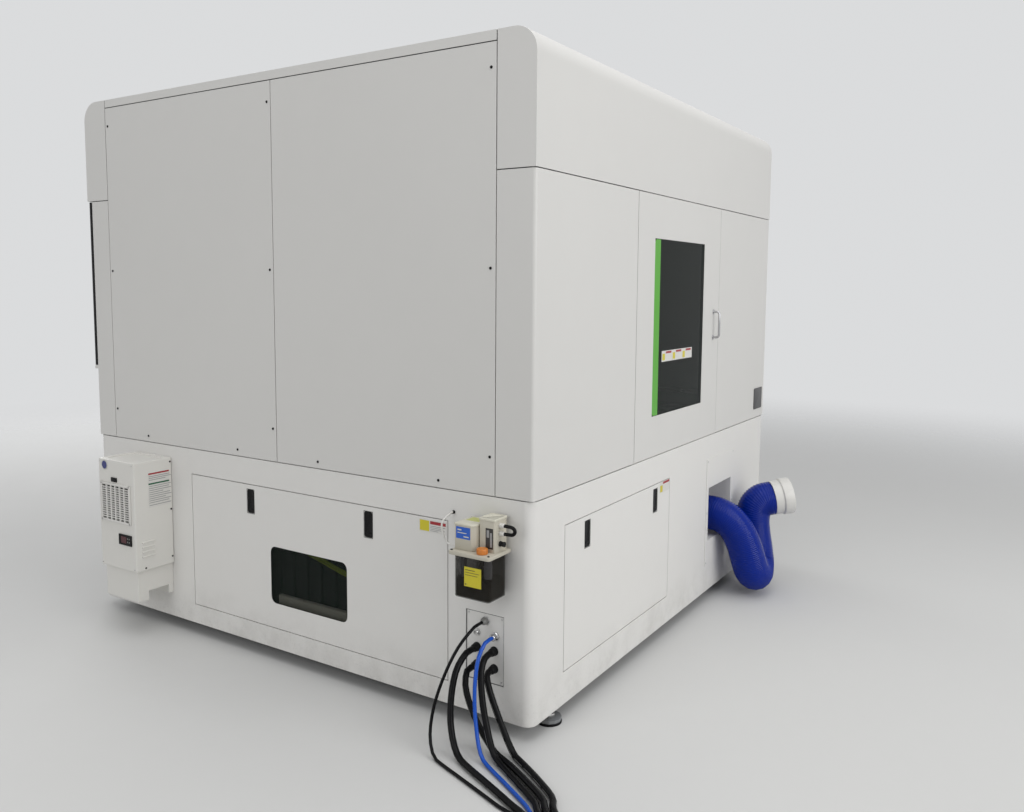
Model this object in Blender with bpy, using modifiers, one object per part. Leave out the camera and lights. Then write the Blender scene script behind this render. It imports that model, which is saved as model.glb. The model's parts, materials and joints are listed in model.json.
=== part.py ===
"""Enclosed fiber laser cutting machine, as its separate pieces.

Metres, +Z up. The rear, with the maintenance door and the extraction duct, faces +Y.
The machine's right-hand side, with the air conditioner and the lubricator, faces +X.
All places are taken from the middle of the cabinet, with the floor at height zero.
The root empty then moves the whole machine so that its origin is the middle of its base.
"""

import math

import bmesh
import bpy
from mathutils import Matrix, Vector

# Overall sizes
cabinet_width = 2.22
cabinet_depth = 2.135
foot_height = 0.05
lower_height = 0.69
upper_height = 0.967
cowl_height = 0.393

# Sheet metal
sheet = 0.002
skin = 0.003
tray_depth = 0.02
seam = 0.003
seat_gap = 0.0003
overrun = 0.01
lower_corner_radius = 0.035
post_corner_radius = 0.012
cowl_radius = 0.075
front_overhang = 0.023

half_width = cabinet_width / 2
half_depth = cabinet_depth / 2
lower_top = foot_height + lower_height
cowl_bottom = lower_top + upper_height
machine_top = cowl_bottom + cowl_height

# Frame
base_bar = 0.06
post_bar = 0.06
side_bay_width = 0.28
bed_wall_offset = half_width - side_bay_width
bed_wall_width = 0.1
bed_top = 0.86
bed_end_gap = 0.1475
bed_depth = cabinet_depth - 2 * bed_end_gap
foot_radius = 0.04
foot_pad_height = 0.018
foot_screw_radius = 0.012
foot_inset = 0.16

corner_segments = 5
round_steps = 24
small_steps = 12

machine = bpy.data.collections.new("laser_cutting_machine")
helpers = bpy.data.collections.new("cutters")


def clear_scene():
    for thing in list(bpy.data.objects):
        bpy.data.objects.remove(thing, do_unlink=True)
    bpy.context.scene.collection.children.link(machine)
    bpy.context.scene.collection.children.link(helpers)


clear_scene()


def empty(name, place=(0, 0, 0), parent=None):
    pivot = bpy.data.objects.new(name, None)
    machine.objects.link(pivot)
    pivot.location = place
    if parent:
        pivot.parent = parent
        pivot.location = Vector(place) - world_place(parent)
    return pivot


def world_place(thing):
    place = Vector(thing.location)
    while thing.parent:
        thing = thing.parent
        place += thing.location
    return place


root = empty("root")


def finish(name, colour, roughness, metallic=0.0):
    made = bpy.data.materials.new(name)
    made.use_nodes = True
    shader = made.node_tree.nodes["Principled BSDF"]
    shader.inputs["Base Color"].default_value = (*colour, 1.0)
    shader.inputs["Roughness"].default_value = roughness
    shader.inputs["Metallic"].default_value = metallic
    made.diffuse_color = (*colour, 1.0)
    return made


white_paint = finish("white_powder_coat", (0.62, 0.61, 0.59), 0.5)
pale_paint = finish("pale_powder_coat", (0.7, 0.69, 0.66), 0.45)
frame_paint = finish("grey_frame_paint", (0.32, 0.33, 0.34), 0.55)
dark_glass = finish("dark_tinted_pane", (0.02, 0.03, 0.028), 0.1)
black_plastic = finish("black_plastic", (0.02, 0.02, 0.02), 0.5)
beige_plastic = finish("beige_plastic", (0.34, 0.32, 0.27), 0.45)
smoky_plastic = finish("smoky_plastic", (0.05, 0.05, 0.05), 0.15)
orange_plastic = finish("orange_plastic", (0.8, 0.25, 0.02), 0.4)
red_plastic = finish("red_plastic", (0.6, 0.02, 0.02), 0.4)
chrome = finish("bright_chrome", (0.75, 0.75, 0.76), 0.15, 1.0)
steel = finish("steel", (0.45, 0.45, 0.46), 0.35, 1.0)
aluminium = finish("anodised_aluminium", (0.6, 0.61, 0.62), 0.4, 1.0)
blue_hose = finish("blue_duct", (0.01, 0.04, 0.4), 0.25)
black_hose = finish("black_hose", (0.015, 0.015, 0.015), 0.35)
blue_tube = finish("blue_air_tube", (0.02, 0.2, 0.75), 0.3)
cuff_white = finish("white_plastic", (0.75, 0.74, 0.7), 0.5)
brass = finish("brass", (0.6, 0.45, 0.2), 0.3, 1.0)


def add_object(name, mesh, place=(0, 0, 0)):
    made = bpy.data.objects.new(name, mesh)
    made.location = place
    machine.objects.link(made)
    return made


def dress(made, look, parent=None, smooth_angle=None):
    """Gives a finished piece its material and its parent, and shades what is round."""
    carrier = parent or root
    made.data.materials.clear()
    made.data.materials.append(look)
    made.location = Vector(made.location) - world_place(carrier)
    made.parent = carrier
    if smooth_angle:
        made.data.shade_smooth()
        made.data.set_sharp_from_angle(angle=smooth_angle)
    return made


def block(name, low, high):
    """A box between two corners, with its origin in its middle."""
    low, high = Vector(low), Vector(high)
    form = bmesh.new()
    bmesh.ops.create_cube(form, size=1.0)
    bmesh.ops.scale(form, vec=high - low, verts=form.verts)
    mesh = bpy.data.meshes.new(name)
    form.to_mesh(mesh)
    form.free()
    return add_object(name, mesh, (low + high) / 2)


def cone_rod(name, start, end, radius, end_radius, sides=round_steps):
    """A round bar, straight or tapered, between two points."""
    start, end = Vector(start), Vector(end)
    form = bmesh.new()
    bmesh.ops.create_cone(
        form,
        cap_ends=True,
        segments=sides,
        radius1=radius,
        radius2=end_radius,
        depth=(end - start).length,
    )
    turn = (end - start).to_track_quat("Z", "Y").to_matrix().to_4x4()
    bmesh.ops.transform(form, matrix=turn, verts=form.verts)
    mesh = bpy.data.meshes.new(name)
    form.to_mesh(mesh)
    form.free()
    return add_object(name, mesh, (start + end) / 2)


def rod(name, start, end, radius, sides=round_steps):
    return cone_rod(name, start, end, radius, radius, sides)


def arc(centre, radius, start_angle, end_angle, segments):
    """Points along an arc, both ends included; angles in degrees."""
    points = []
    for i in range(segments + 1):
        angle = math.radians(start_angle + (end_angle - start_angle) * i / segments)
        points.append(
            (centre[0] + radius * math.cos(angle), centre[1] + radius * math.sin(angle))
        )
    return points


def rounded_box(low, high, radius, segments=corner_segments):
    """The outline of a rectangle with round corners, from two opposite corners."""
    (x0, y0), (x1, y1) = low, high
    if not radius:
        return [(x0, y0), (x1, y0), (x1, y1), (x0, y1)]
    return (
        arc((x1 - radius, y0 + radius), radius, -90, 0, segments)
        + arc((x1 - radius, y1 - radius), radius, 0, 90, segments)
        + arc((x0 + radius, y1 - radius), radius, 90, 180, segments)
        + arc((x0 + radius, y0 + radius), radius, 180, 270, segments)
    )


def solid_from_curve(curve_object):
    """The curve as a closed mesh, with its caps welded, at the same place."""
    bpy.context.view_layer.update()
    settled = curve_object.evaluated_get(bpy.context.evaluated_depsgraph_get())
    mesh = bpy.data.meshes.new_from_object(settled)
    form = bmesh.new()
    form.from_mesh(mesh)
    bmesh.ops.remove_doubles(form, verts=form.verts, dist=weld_distance)
    bmesh.ops.recalc_face_normals(form, faces=form.faces)
    form.to_mesh(mesh)
    form.free()
    name, matrix = curve_object.name, curve_object.matrix_world.copy()
    curve_data = curve_object.data
    bpy.data.objects.remove(curve_object, do_unlink=True)
    bpy.data.curves.remove(curve_data)
    mesh.transform(matrix)
    mesh.name = name
    return add_object(name, mesh)


weld_distance = 0.00002

# How an outline's two directions and its thickness lie in the machine
lying = Matrix(((1, 0, 0), (0, 1, 0), (0, 0, 1))).to_4x4()
facing_side = Matrix(((0, 0, 1), (1, 0, 0), (0, 1, 0))).to_4x4()
facing_rear = Matrix(((-1, 0, 0), (0, 0, 1), (0, 1, 0))).to_4x4()


def plate(name, loops, low, high, way):
    """A flat outline, with holes, made solid from low to high across its plane.

    lying: outline in X and Y, thickness along Z. facing_side: outline in Y and Z,
    thickness along X. facing_rear: outline in X and Z, thickness along Y.
    """
    shape = bpy.data.curves.new(name, "CURVE")
    shape.dimensions = "2D"
    shape.fill_mode = "BOTH"
    shape.extrude = (high - low) / 2
    for loop in loops:
        line = shape.splines.new("POLY")
        line.points.add(len(loop) - 1)
        for point, (a, b) in zip(line.points, loop):
            point.co = (-a if way is facing_rear else a, b, 0, 1)
        line.use_cyclic_u = True
    made = bpy.data.objects.new(name, shape)
    machine.objects.link(made)
    made.matrix_world = Matrix.Translation(way @ Vector((0, 0, (low + high) / 2))) @ way
    return solid_from_curve(made)


def put_aside(tool):
    machine.objects.unlink(tool)
    helpers.objects.link(tool)
    tool.hide_render = True
    tool.display_type = "WIRE"


def boolean(target, tool, operation):
    change = target.modifiers.new(operation.lower(), "BOOLEAN")
    change.operation = operation
    change.object = tool
    change.solver = "EXACT"
    tool.parent = root
    put_aside(tool)


def cut(target, *tools):
    for tool in tools:
        boolean(target, tool, "DIFFERENCE")


def fuse(target, *tools):
    for tool in tools:
        boolean(target, tool, "UNION")


def settle(made):
    """Applies a piece's modifiers, so that its mesh is the finished form."""
    bpy.context.view_layer.update()
    mesh = bpy.data.meshes.new_from_object(
        made.evaluated_get(bpy.context.evaluated_depsgraph_get())
    )
    made.modifiers.clear()
    made.data = mesh
    return made


def soften(made, width, segments=2, angle=math.radians(40)):
    bevel = made.modifiers.new("rounded edges", "BEVEL")
    bevel.width = width
    bevel.segments = segments
    bevel.limit_method = "ANGLE"
    bevel.angle_limit = angle
    return made


def turned(name, profile, place, way, steps=round_steps):
    """A turned piece from (radius, height) pairs, top to bottom, about the way given."""
    mesh = bpy.data.meshes.new(name)
    form = bmesh.new()
    closed = profile[0] == profile[-1]
    corners = profile[:-1] if closed else profile
    verts = [form.verts.new((radius, 0, height)) for radius, height in corners]
    for first, second in zip(verts, verts[1:] + verts[:1] if closed else verts[1:]):
        form.edges.new((first, second))
    form.to_mesh(mesh)
    form.free()
    made = add_object(name, mesh)
    spin = made.modifiers.new("turning", "SCREW")
    spin.steps = steps
    spin.render_steps = steps
    spin.use_merge_vertices = True
    spin.merge_threshold = weld_distance
    spin.use_smooth_shade = False
    settle(made)
    turn = Vector(way).to_track_quat("Z", "Y").to_matrix().to_4x4()
    made.data.transform(turn)
    made.location = place
    return made


def smooth_route(points, count):
    """Points evenly spread on a smooth curve through the given ones."""
    points = [Vector(p) for p in points]
    ends = [2 * points[0] - points[1], *points, 2 * points[-1] - points[-2]]
    fine = []
    for a, b, c, d in zip(ends, ends[1:], ends[2:], ends[3:]):
        for i in range(fine_steps):
            t = i / fine_steps
            fine.append(
                (
                    2 * b
                    + (c - a) * t
                    + (2 * a - 5 * b + 4 * c - d) * t**2
                    + (3 * b - a - 3 * c + d) * t**3
                )
                / 2
            )
    fine.append(points[-1])
    run = [0.0]
    for a, b in zip(fine, fine[1:]):
        run.append(run[-1] + (b - a).length)
    spread, j = [], 0
    for i in range(count):
        at = run[-1] * i / (count - 1)
        while j < len(run) - 2 and run[j + 1] < at:
            j += 1
        share = (at - run[j]) / (run[j + 1] - run[j])
        spread.append(fine[j].lerp(fine[j + 1], min(max(share, 0), 1)))
    return spread


fine_steps = 24


def tube(name, points, radius, resolution=2):
    """A round line with closed ends along the points."""
    shape = bpy.data.curves.new(name, "CURVE")
    shape.dimensions = "3D"
    shape.bevel_depth = radius
    shape.bevel_resolution = resolution
    shape.use_fill_caps = True
    line = shape.splines.new("POLY")
    line.points.add(len(points) - 1)
    for point, place in zip(line.points, points):
        point.co = (*place, 1)
    made = bpy.data.objects.new(name, shape)
    machine.objects.link(made)
    return solid_from_curve(made)

# Distance from the rear face and height of what the right-hand side carries
side_access_places = ((1.5425, 0.124), (0.3085, 0.644))
side_window_places = ((1.1105, 0.219), (0.7375, 0.43))
side_latch_front_back = 1.2095
side_latch_rear_back = 0.6385
connector_hole_places = ((0.2405, 0.156), (0.0995, 0.376))


def from_rear(*places):
    """Places on the side, each given by its distance from the rear face and its height."""
    return tuple((half_depth - back, height) for back, height in places)


def from_front(*places):
    """Places on the side, each given by its distance from the front face and its height."""
    return tuple((ahead - half_depth, height) for ahead, height in places)


# Places on the right-hand side
side_access = from_rear(*side_access_places)
side_window_hole = from_rear(*side_window_places)
side_window_radius = 0.024
side_latch_places = (half_depth - side_latch_front_back, half_depth - side_latch_rear_back)
latch_middle_height = 0.58
connector_hole = from_rear(*connector_hole_places)

# Places on the rear, in X and Z
rear_access = ((0.081, 0.156), (0.919, 0.633))
rear_latch_left_offset = 0.22
rear_latch_right_offset = 0.767
rear_latch_places = (rear_latch_left_offset, rear_latch_right_offset)
rear_latch_height = 0.57
duct_plate_edges = ((-0.672, 0.167), (-0.326, 0.638))
duct_recess = ((-0.64, 0.273), (-0.35, 0.511))
duct_recess_depth = 0.13
rear_door_half_width = 0.42
rear_window_hole = ((-0.233, 0.894), (0.27, 1.548))

# Places on the front, in X and Z
drawer_hole = ((-0.6, 0.2), (0.6, 0.5))
front_band_bottom = 1.036
front_corner_width = 0.18
front_opening_half_width = half_width - front_corner_width

rebate_wall = 0.003
rebate_lip = 0.012

# Side panels, in Y
rear_cap_width = 0.1345
front_cap_width = 0.1175
rear_cap_edge = half_depth - rear_cap_width
front_cap_edge = front_cap_width - half_depth
panel_split = 0.0
roof_strip = 0.03


def foot(place):
    x, y = place
    pad = rod("foot pad", (x, y, 0), (x, y, foot_pad_height), foot_radius, small_steps)
    screw = rod(
        "foot screw",
        (x, y, foot_pad_height / 2),
        (x, y, foot_height + base_bar / 2),
        foot_screw_radius,
        small_steps,
    )
    return pad, screw


def make_bed_frame():
    """The welded base: outer ring, corner posts, top ring and the two bed walls."""
    out_x = half_width - skin - seat_gap
    out_y = half_depth - skin - seat_gap
    radius = lower_corner_radius - skin

    def ring(name, low, high):
        inner = base_bar
        return plate(
            name,
            (
                rounded_box((-out_x, -out_y), (out_x, out_y), radius),
                rounded_box(
                    (inner - out_x, inner - out_y), (out_x - inner, out_y - inner), 0
                ),
            ),
            low,
            high,
            lying,
        )

    ledge = lower_top - skin - seat_gap
    made = ring("bed_frame", foot_height, foot_height + base_bar)
    extra = [ring("top ring", ledge - base_bar, ledge)]
    for sx in (-1, 1):
        for sy in (-1, 1):
            inner_x, outer_x = sx * (out_x - post_bar), sx * (out_x - overrun)
            inner_y, outer_y = sy * (out_y - post_bar), sy * (out_y - overrun)
            extra.append(
                block(
                    "corner post",
                    (min(inner_x, outer_x), min(inner_y, outer_y), foot_height + overrun),
                    (max(inner_x, outer_x), max(inner_y, outer_y), ledge - overrun),
                )
            )
            extra += foot((sx * (out_x - foot_inset), sy * (out_y - base_bar / 2)))
        wall = sx * bed_wall_offset
        extra.append(
            block(
                "bed wall",
                (wall - bed_wall_width / 2, -bed_depth / 2, foot_height + overrun),
                (wall + bed_wall_width / 2, bed_depth / 2, bed_top),
            )
        )
    for sy in (-1, 1):
        place = sy * (bed_depth / 2 - base_bar / 2)
        extra.append(
            block(
                "cross bar",
                (overrun - out_x, place - base_bar / 2, foot_height + overrun),
                (out_x - overrun, place + base_bar / 2, foot_height + base_bar - overrun),
            )
        )
    fuse(made, *extra, *make_bed_fittings())
    return dress(settle(made), frame_paint)


def side_block(low, high, near, far):
    """A box over a (y, z) rectangle of the right-hand side, between two depths."""
    return block("cutter", (near, low[0], low[1]), (far, high[0], high[1]))


def rear_block(low, high, near, far):
    """A box over an (x, z) rectangle of the rear, between two depths."""
    return block("cutter", (low[0], near, low[1]), (high[0], far, high[1]))


def grown(edges, margin):
    (a0, b0), (a1, b1) = edges
    return (a0 - margin, b0 - margin), (a1 + margin, b1 + margin)


def rebate(cabinet, edges, face, make_block):
    """A pan behind an opening, on whose lip the panel's folds rest."""
    depth = face - tray_depth - seat_gap
    fuse(
        cabinet,
        make_block(*grown(edges, rebate_wall), depth - rebate_wall, face - skin / 2),
    )
    cut(
        cabinet,
        make_block(*edges, depth, face + overrun),
        make_block(*grown(edges, -rebate_lip), depth - overrun, face),
    )


def make_lower_cabinet():
    """The folded skin round the base, with its ledge and its openings."""
    outer = ((-half_width, -half_depth), (half_width, half_depth))
    wall = (
        rounded_box(*outer, lower_corner_radius),
        rounded_box(*grown(outer, -skin), lower_corner_radius - skin),
    )
    ledge = (
        rounded_box(*outer, lower_corner_radius),
        rounded_box(*grown(outer, -base_bar), 0),
    )
    made = plate("lower_cabinet", wall, foot_height, lower_top, lying)
    fuse(made, plate("ledge", ledge, lower_top - skin, lower_top, lying))
    rebate(made, side_access, half_width, side_block)
    rebate(made, rear_access, half_depth, rear_block)
    reach = half_depth - skin - overrun
    cut(
        made,
        side_block(*connector_hole, half_width - skin - overrun, half_width + overrun),
        rear_block(*duct_recess, reach, half_depth + overrun),
        rear_block(*drawer_hole, -half_depth - overrun, -reach),
    )
    return dress(settle(made), pale_paint, smooth_angle=math.radians(30))


def make_upper_frame():
    """The welded upper frame that the panels, doors and cowls are hung on."""
    out_x = half_width - tray_depth - seat_gap
    out_y = half_depth - tray_depth - seat_gap
    low = lower_top + seat_gap
    high = machine_top - skin - seat_gap
    ring = (
        rounded_box((-out_x, -out_y), (out_x, out_y), 0),
        rounded_box((post_bar - out_x, post_bar - out_y), (out_x - post_bar, out_y - post_bar), 0),
    )
    top_low = cowl_bottom
    made = plate("upper_frame", ring, top_low, top_low + post_bar, lying)
    extra = []
    top_reach = half_depth - cowl_radius
    for sx in (-1, 1):
        edge_x = sorted((sx * out_x, sx * (out_x - post_bar)))
        for sy in (-1, 1):
            edge_y = sorted((sy * out_y, sy * (out_y - post_bar)))
            extra.append(
                block("post", (edge_x[0], edge_y[0], low), (edge_x[1], edge_y[1], top_low + overrun))
            )
            top_y = sorted((sy * top_reach, sy * (top_reach - post_bar)))
            extra.append(
                block("top post", (edge_x[0], top_y[0], top_low + overrun), (edge_x[1], top_y[1], high))
            )
        extra.append(
            block(
                "middle post",
                (edge_x[0], panel_split - post_bar / 2, low),
                (edge_x[1], panel_split + post_bar / 2, high),
            )
        )
        extra.append(
            block(
                "roof rail",
                (edge_x[0], -top_reach, high - post_bar),
                (edge_x[1], top_reach, high),
            )
        )
    door_edges = (
        (1, rear_door_half_width - rebate_lip),
        (-1, front_opening_half_width - rebate_lip),
    )
    for sy, inner in door_edges:
        edge_y = sorted((sy * out_y, sy * (out_y - post_bar)))
        for sx in (-1, 1):
            edge_x = sorted((sx * inner, sx * (inner + post_bar)))
            extra.append(
                block("door post", (edge_x[0], edge_y[0], low), (edge_x[1], edge_y[1], top_low + overrun))
            )
        cross_y = sorted((sy * top_reach, sy * (top_reach - post_bar)))
        extra.append(
            block(
                "roof cross rail",
                (overrun - out_x, cross_y[0], high - post_bar),
                (out_x - overrun, cross_y[1], high - overrun),
            )
        )
    fuse(made, *extra)
    return dress(settle(made), frame_paint)


def hollow_back(made, low, high, axis, face, depth):
    """Cuts a folded panel's hollow from its back, leaving the folds at its edges."""
    low, high = list(low), list(high)
    inner = face - math.copysign(sheet, face)
    back = face - math.copysign(depth + overrun, face)
    pair = sorted((inner, back))
    low.insert(axis, pair[0])
    high.insert(axis, pair[1])
    cut(made, block("hollow", low, high))


def side_panel(name, sx, y0, y1, z1):
    """A screwed side panel: a sheet with folded edges, resting on the frame."""
    low, high = (y0 + seam / 2, lower_top + seam), (y1 - seam / 2, z1)
    face = sx * half_width
    edges = sorted((face, face - sx * tray_depth))
    made = block(name, (edges[0], *low), (edges[1], *high))
    hollow_back(made, *grown((low, high), -sheet), 0, face, tray_depth)
    return dress(settle(made), white_paint)


def corner_panel(name, sx, sy, inner_x, cap_edge):
    """An L-shaped corner cover, from a side panel round to the door opening."""
    low_z, high_z = lower_top + seam, cowl_bottom - seam
    face_x, face_y = sx * half_width, sy * half_depth
    edge_x, edge_y = sx * inner_x, cap_edge + sy * seam / 2
    turn = 1 if sx * sy > 0 else -1
    outer = [
        (edge_x, face_y),
        *corner_arc(face_x, face_y, sx, sy, post_corner_radius),
        (face_x, edge_y),
    ]
    inner = [
        (face_x - sx * sheet, edge_y),
        *reversed(
            corner_arc(
                face_x - sx * sheet,
                face_y - sy * sheet,
                sx,
                sy,
                post_corner_radius - sheet,
            )
        ),
        (edge_x, face_y - sy * sheet),
    ]
    loop = (outer + inner)[::turn]
    made = plate(name, (loop,), low_z, high_z, lying)
    reach_x = sorted((edge_x, edge_x + sx * sheet))
    reach_y = sorted((face_y - sy * sheet / 2, face_y - sy * tray_depth))
    fold_y = sorted((edge_y, edge_y + sy * sheet))
    fold_x = sorted((face_x - sx * sheet / 2, face_x - sx * tray_depth))
    fuse(
        made,
        block("door fold", (reach_x[0], reach_y[0], low_z), (reach_x[1], reach_y[1], high_z)),
        block("side fold", (fold_x[0], fold_y[0], low_z), (fold_x[1], fold_y[1], high_z)),
    )
    return dress(settle(made), white_paint, smooth_angle=math.radians(30))


def corner_arc(x, y, sx, sy, radius):
    """A round corner, walked from the rear or front face to the side face."""
    centre = (x - sx * radius, y - sy * radius)
    points = arc((0, 0), radius, 90, 0, corner_segments)
    return [(centre[0] + sx * a, centre[1] + sy * b) for a, b in points]


def cowl(name, sy, cap_edge, overhang):
    """A top cowl: a sheet rolled over from the face to the roof, with closed ends."""
    face = half_depth + overhang
    inner = abs(cap_edge) + seam / 2
    low = cowl_bottom
    section = [
        (inner, low),
        (face, low),
        *arc((face - cowl_radius, machine_top - cowl_radius), cowl_radius, 0, 90, cowl_steps),
        (inner, machine_top),
    ]
    hollow = [
        (inner - overrun, low + cowl_floor),
        (face - skin, low + cowl_floor),
        *arc(
            (face - cowl_radius, machine_top - cowl_radius),
            cowl_radius - skin,
            0,
            90,
            cowl_steps,
        ),
        (inner - overrun, machine_top - skin),
    ]
    made = plate(
        name, ([(sy * y, z) for y, z in section][::sy],), -half_width, half_width, facing_side
    )
    core = plate(
        "cowl hollow",
        ([(sy * y, z) for y, z in hollow][::sy],),
        sheet - half_width,
        half_width - sheet,
        facing_side,
    )
    slot = sorted((sy * (inner - overrun), sy * (face - cowl_lip)))
    mouth = block(
        "cowl mouth",
        (sheet - half_width, slot[0], low - overrun),
        (half_width - sheet, slot[1], low + cowl_floor + overrun),
    )
    cut(made, core, mouth)
    return dress(settle(made), white_paint, smooth_angle=math.radians(30))


cowl_steps = 8
cowl_floor = 0.0015
cowl_lip = 0.018


def make_roof():
    """The roof tray between the two cowls."""
    y0, y1 = front_cap_edge + seam / 2, rear_cap_edge - seam / 2
    made = block(
        "roof_panel",
        (-half_width, y0, machine_top - roof_strip),
        (half_width, y1, machine_top),
    )
    cut(
        made,
        block(
            "roof hollow",
            (sheet - half_width, y0 - overrun, machine_top - roof_strip - overrun),
            (half_width - sheet, y1 + overrun, machine_top - skin),
        ),
    )
    return dress(settle(made), white_paint)


# Windows, latches and handle
pane = 0.005
pane_overlap = 0.012
latch_width = 0.036
latch_height = 0.088
latch_depth = 0.005
latch_radius = 0.007
handle_offset = -0.354
handle_heights = (1.162, 1.27)
handle_reach = 0.032
handle_radius = 0.006


def panel_of(name, edges, axis, face):
    """A folded tray that fills an opening on the side or the rear, flush with the skin."""
    low, high = grown(edges, -seam)
    pair = sorted((face, face - math.copysign(tray_depth, face)))
    low3, high3 = list(low), list(high)
    low3.insert(axis, pair[0])
    high3.insert(axis, pair[1])
    made = block(name, low3, high3)
    hollow_back(made, *grown((low, high), -sheet), axis, face, tray_depth)
    return made


def window_cut(made, edges, radius, way, face):
    back = face - math.copysign(tray_depth, face)
    pair = sorted((face + math.copysign(overrun, face), back))
    cut(made, plate("window hole", (rounded_box(*edges, radius),), *pair, way))


def window_pane(name, edges, radius, way, face, parent):
    """A tinted pane behind its panel's sheet."""
    outer = face - math.copysign(sheet + seat_gap, face)
    pair = sorted((outer, outer - math.copysign(pane, face)))
    made = plate(name, (rounded_box(*grown(edges, pane_overlap), radius),), *pair, way)
    return dress(made, dark_glass, parent)


def latch_edges(middle, height):
    half_w, half_h = latch_width / 2, latch_height / 2
    return (middle - half_w, height - half_h), (middle + half_w, height + half_h)


def latch(name, middle, height, way, face, panel_pivot, pivot_place):
    """A black paddle, flush in its panel, that swings out from its top edge."""
    pivot = empty(name + "_pivot", pivot_place, panel_pivot)
    pair = sorted((face, face - latch_depth))
    edges = grown(latch_edges(middle, height), -seat_gap)
    made = plate(name, (rounded_box(*edges, latch_radius),), *pair, way)
    return dress(made, black_plastic, pivot)


def make_side_access():
    face = half_width
    low, high = side_access
    pivot = empty("side_access_pivot", (face, (low[0] + high[0]) / 2, low[1]), root)
    made = panel_of("side_access_panel", side_access, 0, face)
    window_cut(made, side_window_hole, side_window_radius, facing_side, face)
    for middle in side_latch_places:
        window_cut(
            made, latch_edges(middle, latch_middle_height), latch_radius, facing_side, face
        )
    dress(settle(made), white_paint, pivot)
    window_pane(
        "side_window", side_window_hole, side_window_radius, facing_side, face, pivot
    )
    for name, middle in zip(("side_latch_front", "side_latch_rear"), side_latch_places):
        top = (face, middle, latch_middle_height + latch_height / 2)
        latch(name, middle, latch_middle_height, facing_side, face, pivot, top)


def make_rear_access():
    face = half_depth
    low, high = rear_access
    pivot = empty("rear_access_pivot", ((low[0] + high[0]) / 2, face, low[1]), root)
    made = panel_of("rear_access_panel", rear_access, 1, face)
    for middle in rear_latch_places:
        window_cut(
            made, latch_edges(middle, rear_latch_height), latch_radius, facing_rear, face
        )
    dress(settle(made), white_paint, pivot)
    for name, middle in zip(("rear_latch_left", "rear_latch_right"), rear_latch_places):
        top = (middle, face, rear_latch_height + latch_height / 2)
        latch(name, middle, rear_latch_height, facing_rear, face, pivot, top)


def make_rear_door():
    face = half_depth
    edges = (
        (-rear_door_half_width, lower_top),
        (rear_door_half_width, cowl_bottom),
    )
    hinge = empty("rear_door_pivot", (rear_door_half_width, face, lower_top), root)
    made = panel_of("rear_door", edges, 1, face)
    window_cut(made, rear_window_hole, 0, facing_rear, face)
    dress(settle(made), white_paint, hinge)
    window_pane("rear_window", rear_window_hole, 0, facing_rear, face, hinge)
    low, high = handle_heights
    out = face + handle_reach
    foot_y = face + seat_gap
    route = [
        (handle_offset, foot_y, high),
        (handle_offset, out - handle_radius * 2, high),
        (handle_offset, out, high - handle_radius * 2),
        (handle_offset, out, low + handle_radius * 2),
        (handle_offset, out - handle_radius * 2, low),
        (handle_offset, foot_y, low),
    ]
    dress(
        tube("rear_handle", route, handle_radius), chrome, hinge, smooth_angle=round_angle
    )


round_angle = math.radians(50)

# Connector plate: a place, a bore and a length for each fitting
connector_sheet = 0.002
thick_hose_radius = 0.01
thin_cable_radius = 0.005
blue_tube_radius = 0.006
fitting_wall = 0.003
fitting_reach = 0.022
fitting_root = 0.012
port_places = {
    "power_cable": ((0.1675, 0.352), thin_cable_radius),
    "air_tube": ((0.1315, 0.31), blue_tube_radius),
    "hose_1": ((0.1995, 0.262), thick_hose_radius),
    "hose_2": ((0.1355, 0.262), thick_hose_radius),
    "hose_3": ((0.1995, 0.206), thick_hose_radius),
    "hose_4": ((0.1355, 0.206), thick_hose_radius),
}
ports = {
    name: (*from_rear(place)[0], radius)
    for name, (place, radius) in port_places.items()
}
spare_port_place = (0.1995, 0.31)
spare_port = from_rear(spare_port_place)[0]
spare_port_radius = 0.008


def make_connector_plate():
    """The plate behind its opening, with one fitting for each line."""
    front = half_width - skin - seat_gap
    low, high = grown(connector_hole, pane_overlap)
    made = block(
        "connector_plate",
        (front - connector_sheet, *low),
        (front, *high),
    )
    for y, z, radius in ports.values():
        fuse(
            made,
            rod(
                "fitting",
                (front - fitting_root, y, z),
                (front + fitting_reach, y, z),
                radius + fitting_wall,
                small_steps,
            ),
        )
    fuse(
        made,
        rod(
            "spare fitting",
            (front - fitting_root, *spare_port),
            (front + fitting_root, *spare_port),
            spare_port_radius,
            small_steps,
        ),
    )
    return dress(settle(made), steel, smooth_angle=round_angle)


# Extraction duct
duct_radius = 0.0745
duct_rib = 0.003
duct_wall = 0.003
duct_ribs = 24
duct_sides_resolution = 3
duct_centre = (-0.495, 0.366)
spigot_reach = 0.045
spigot_wall = 0.002
duct_inset = 0.1225
duct_start = half_depth - duct_inset
# The duct's path, in shares of its reach: across, out from the rear face, and up
duct_reach = 0.1
duct_route_shares = (
    (0, -0.825, 0),
    (0, -0.425, 0),
    (0, 0.005, -0.04),
    (-0.01, 0.455, -0.23),
    (-0.03, 0.855, -0.63),
    (-0.1, 1.165, -1.26),
    (-0.2, 1.325, -1.88),
    (-0.46, 1.425, -2.45),
    (-1.05, 1.425, -2.73),
    (-1.65, 1.305, -2.49),
    (-1.91, 1.165, -1.94),
    (-1.97, 1.025, -1.31),
    (-1.93, 0.955, -0.71),
    (-1.89, 0.975, -0.28),
    (-1.95, 1.075, 0.11),
    (-2.11, 1.325, 0.38),
    (-2.34, 1.675, 0.47),
)
duct_route = tuple(
    (
        duct_centre[0] + across * duct_reach,
        half_depth + out * duct_reach,
        duct_centre[1] + up * duct_reach,
    )
    for across, out, up in duct_route_shares
)
cuff_length = 0.085
cuff_radius = 0.0795
cuff_bore = 0.068
cuff_band = 0.003
cuff_band_width = 0.02


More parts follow.
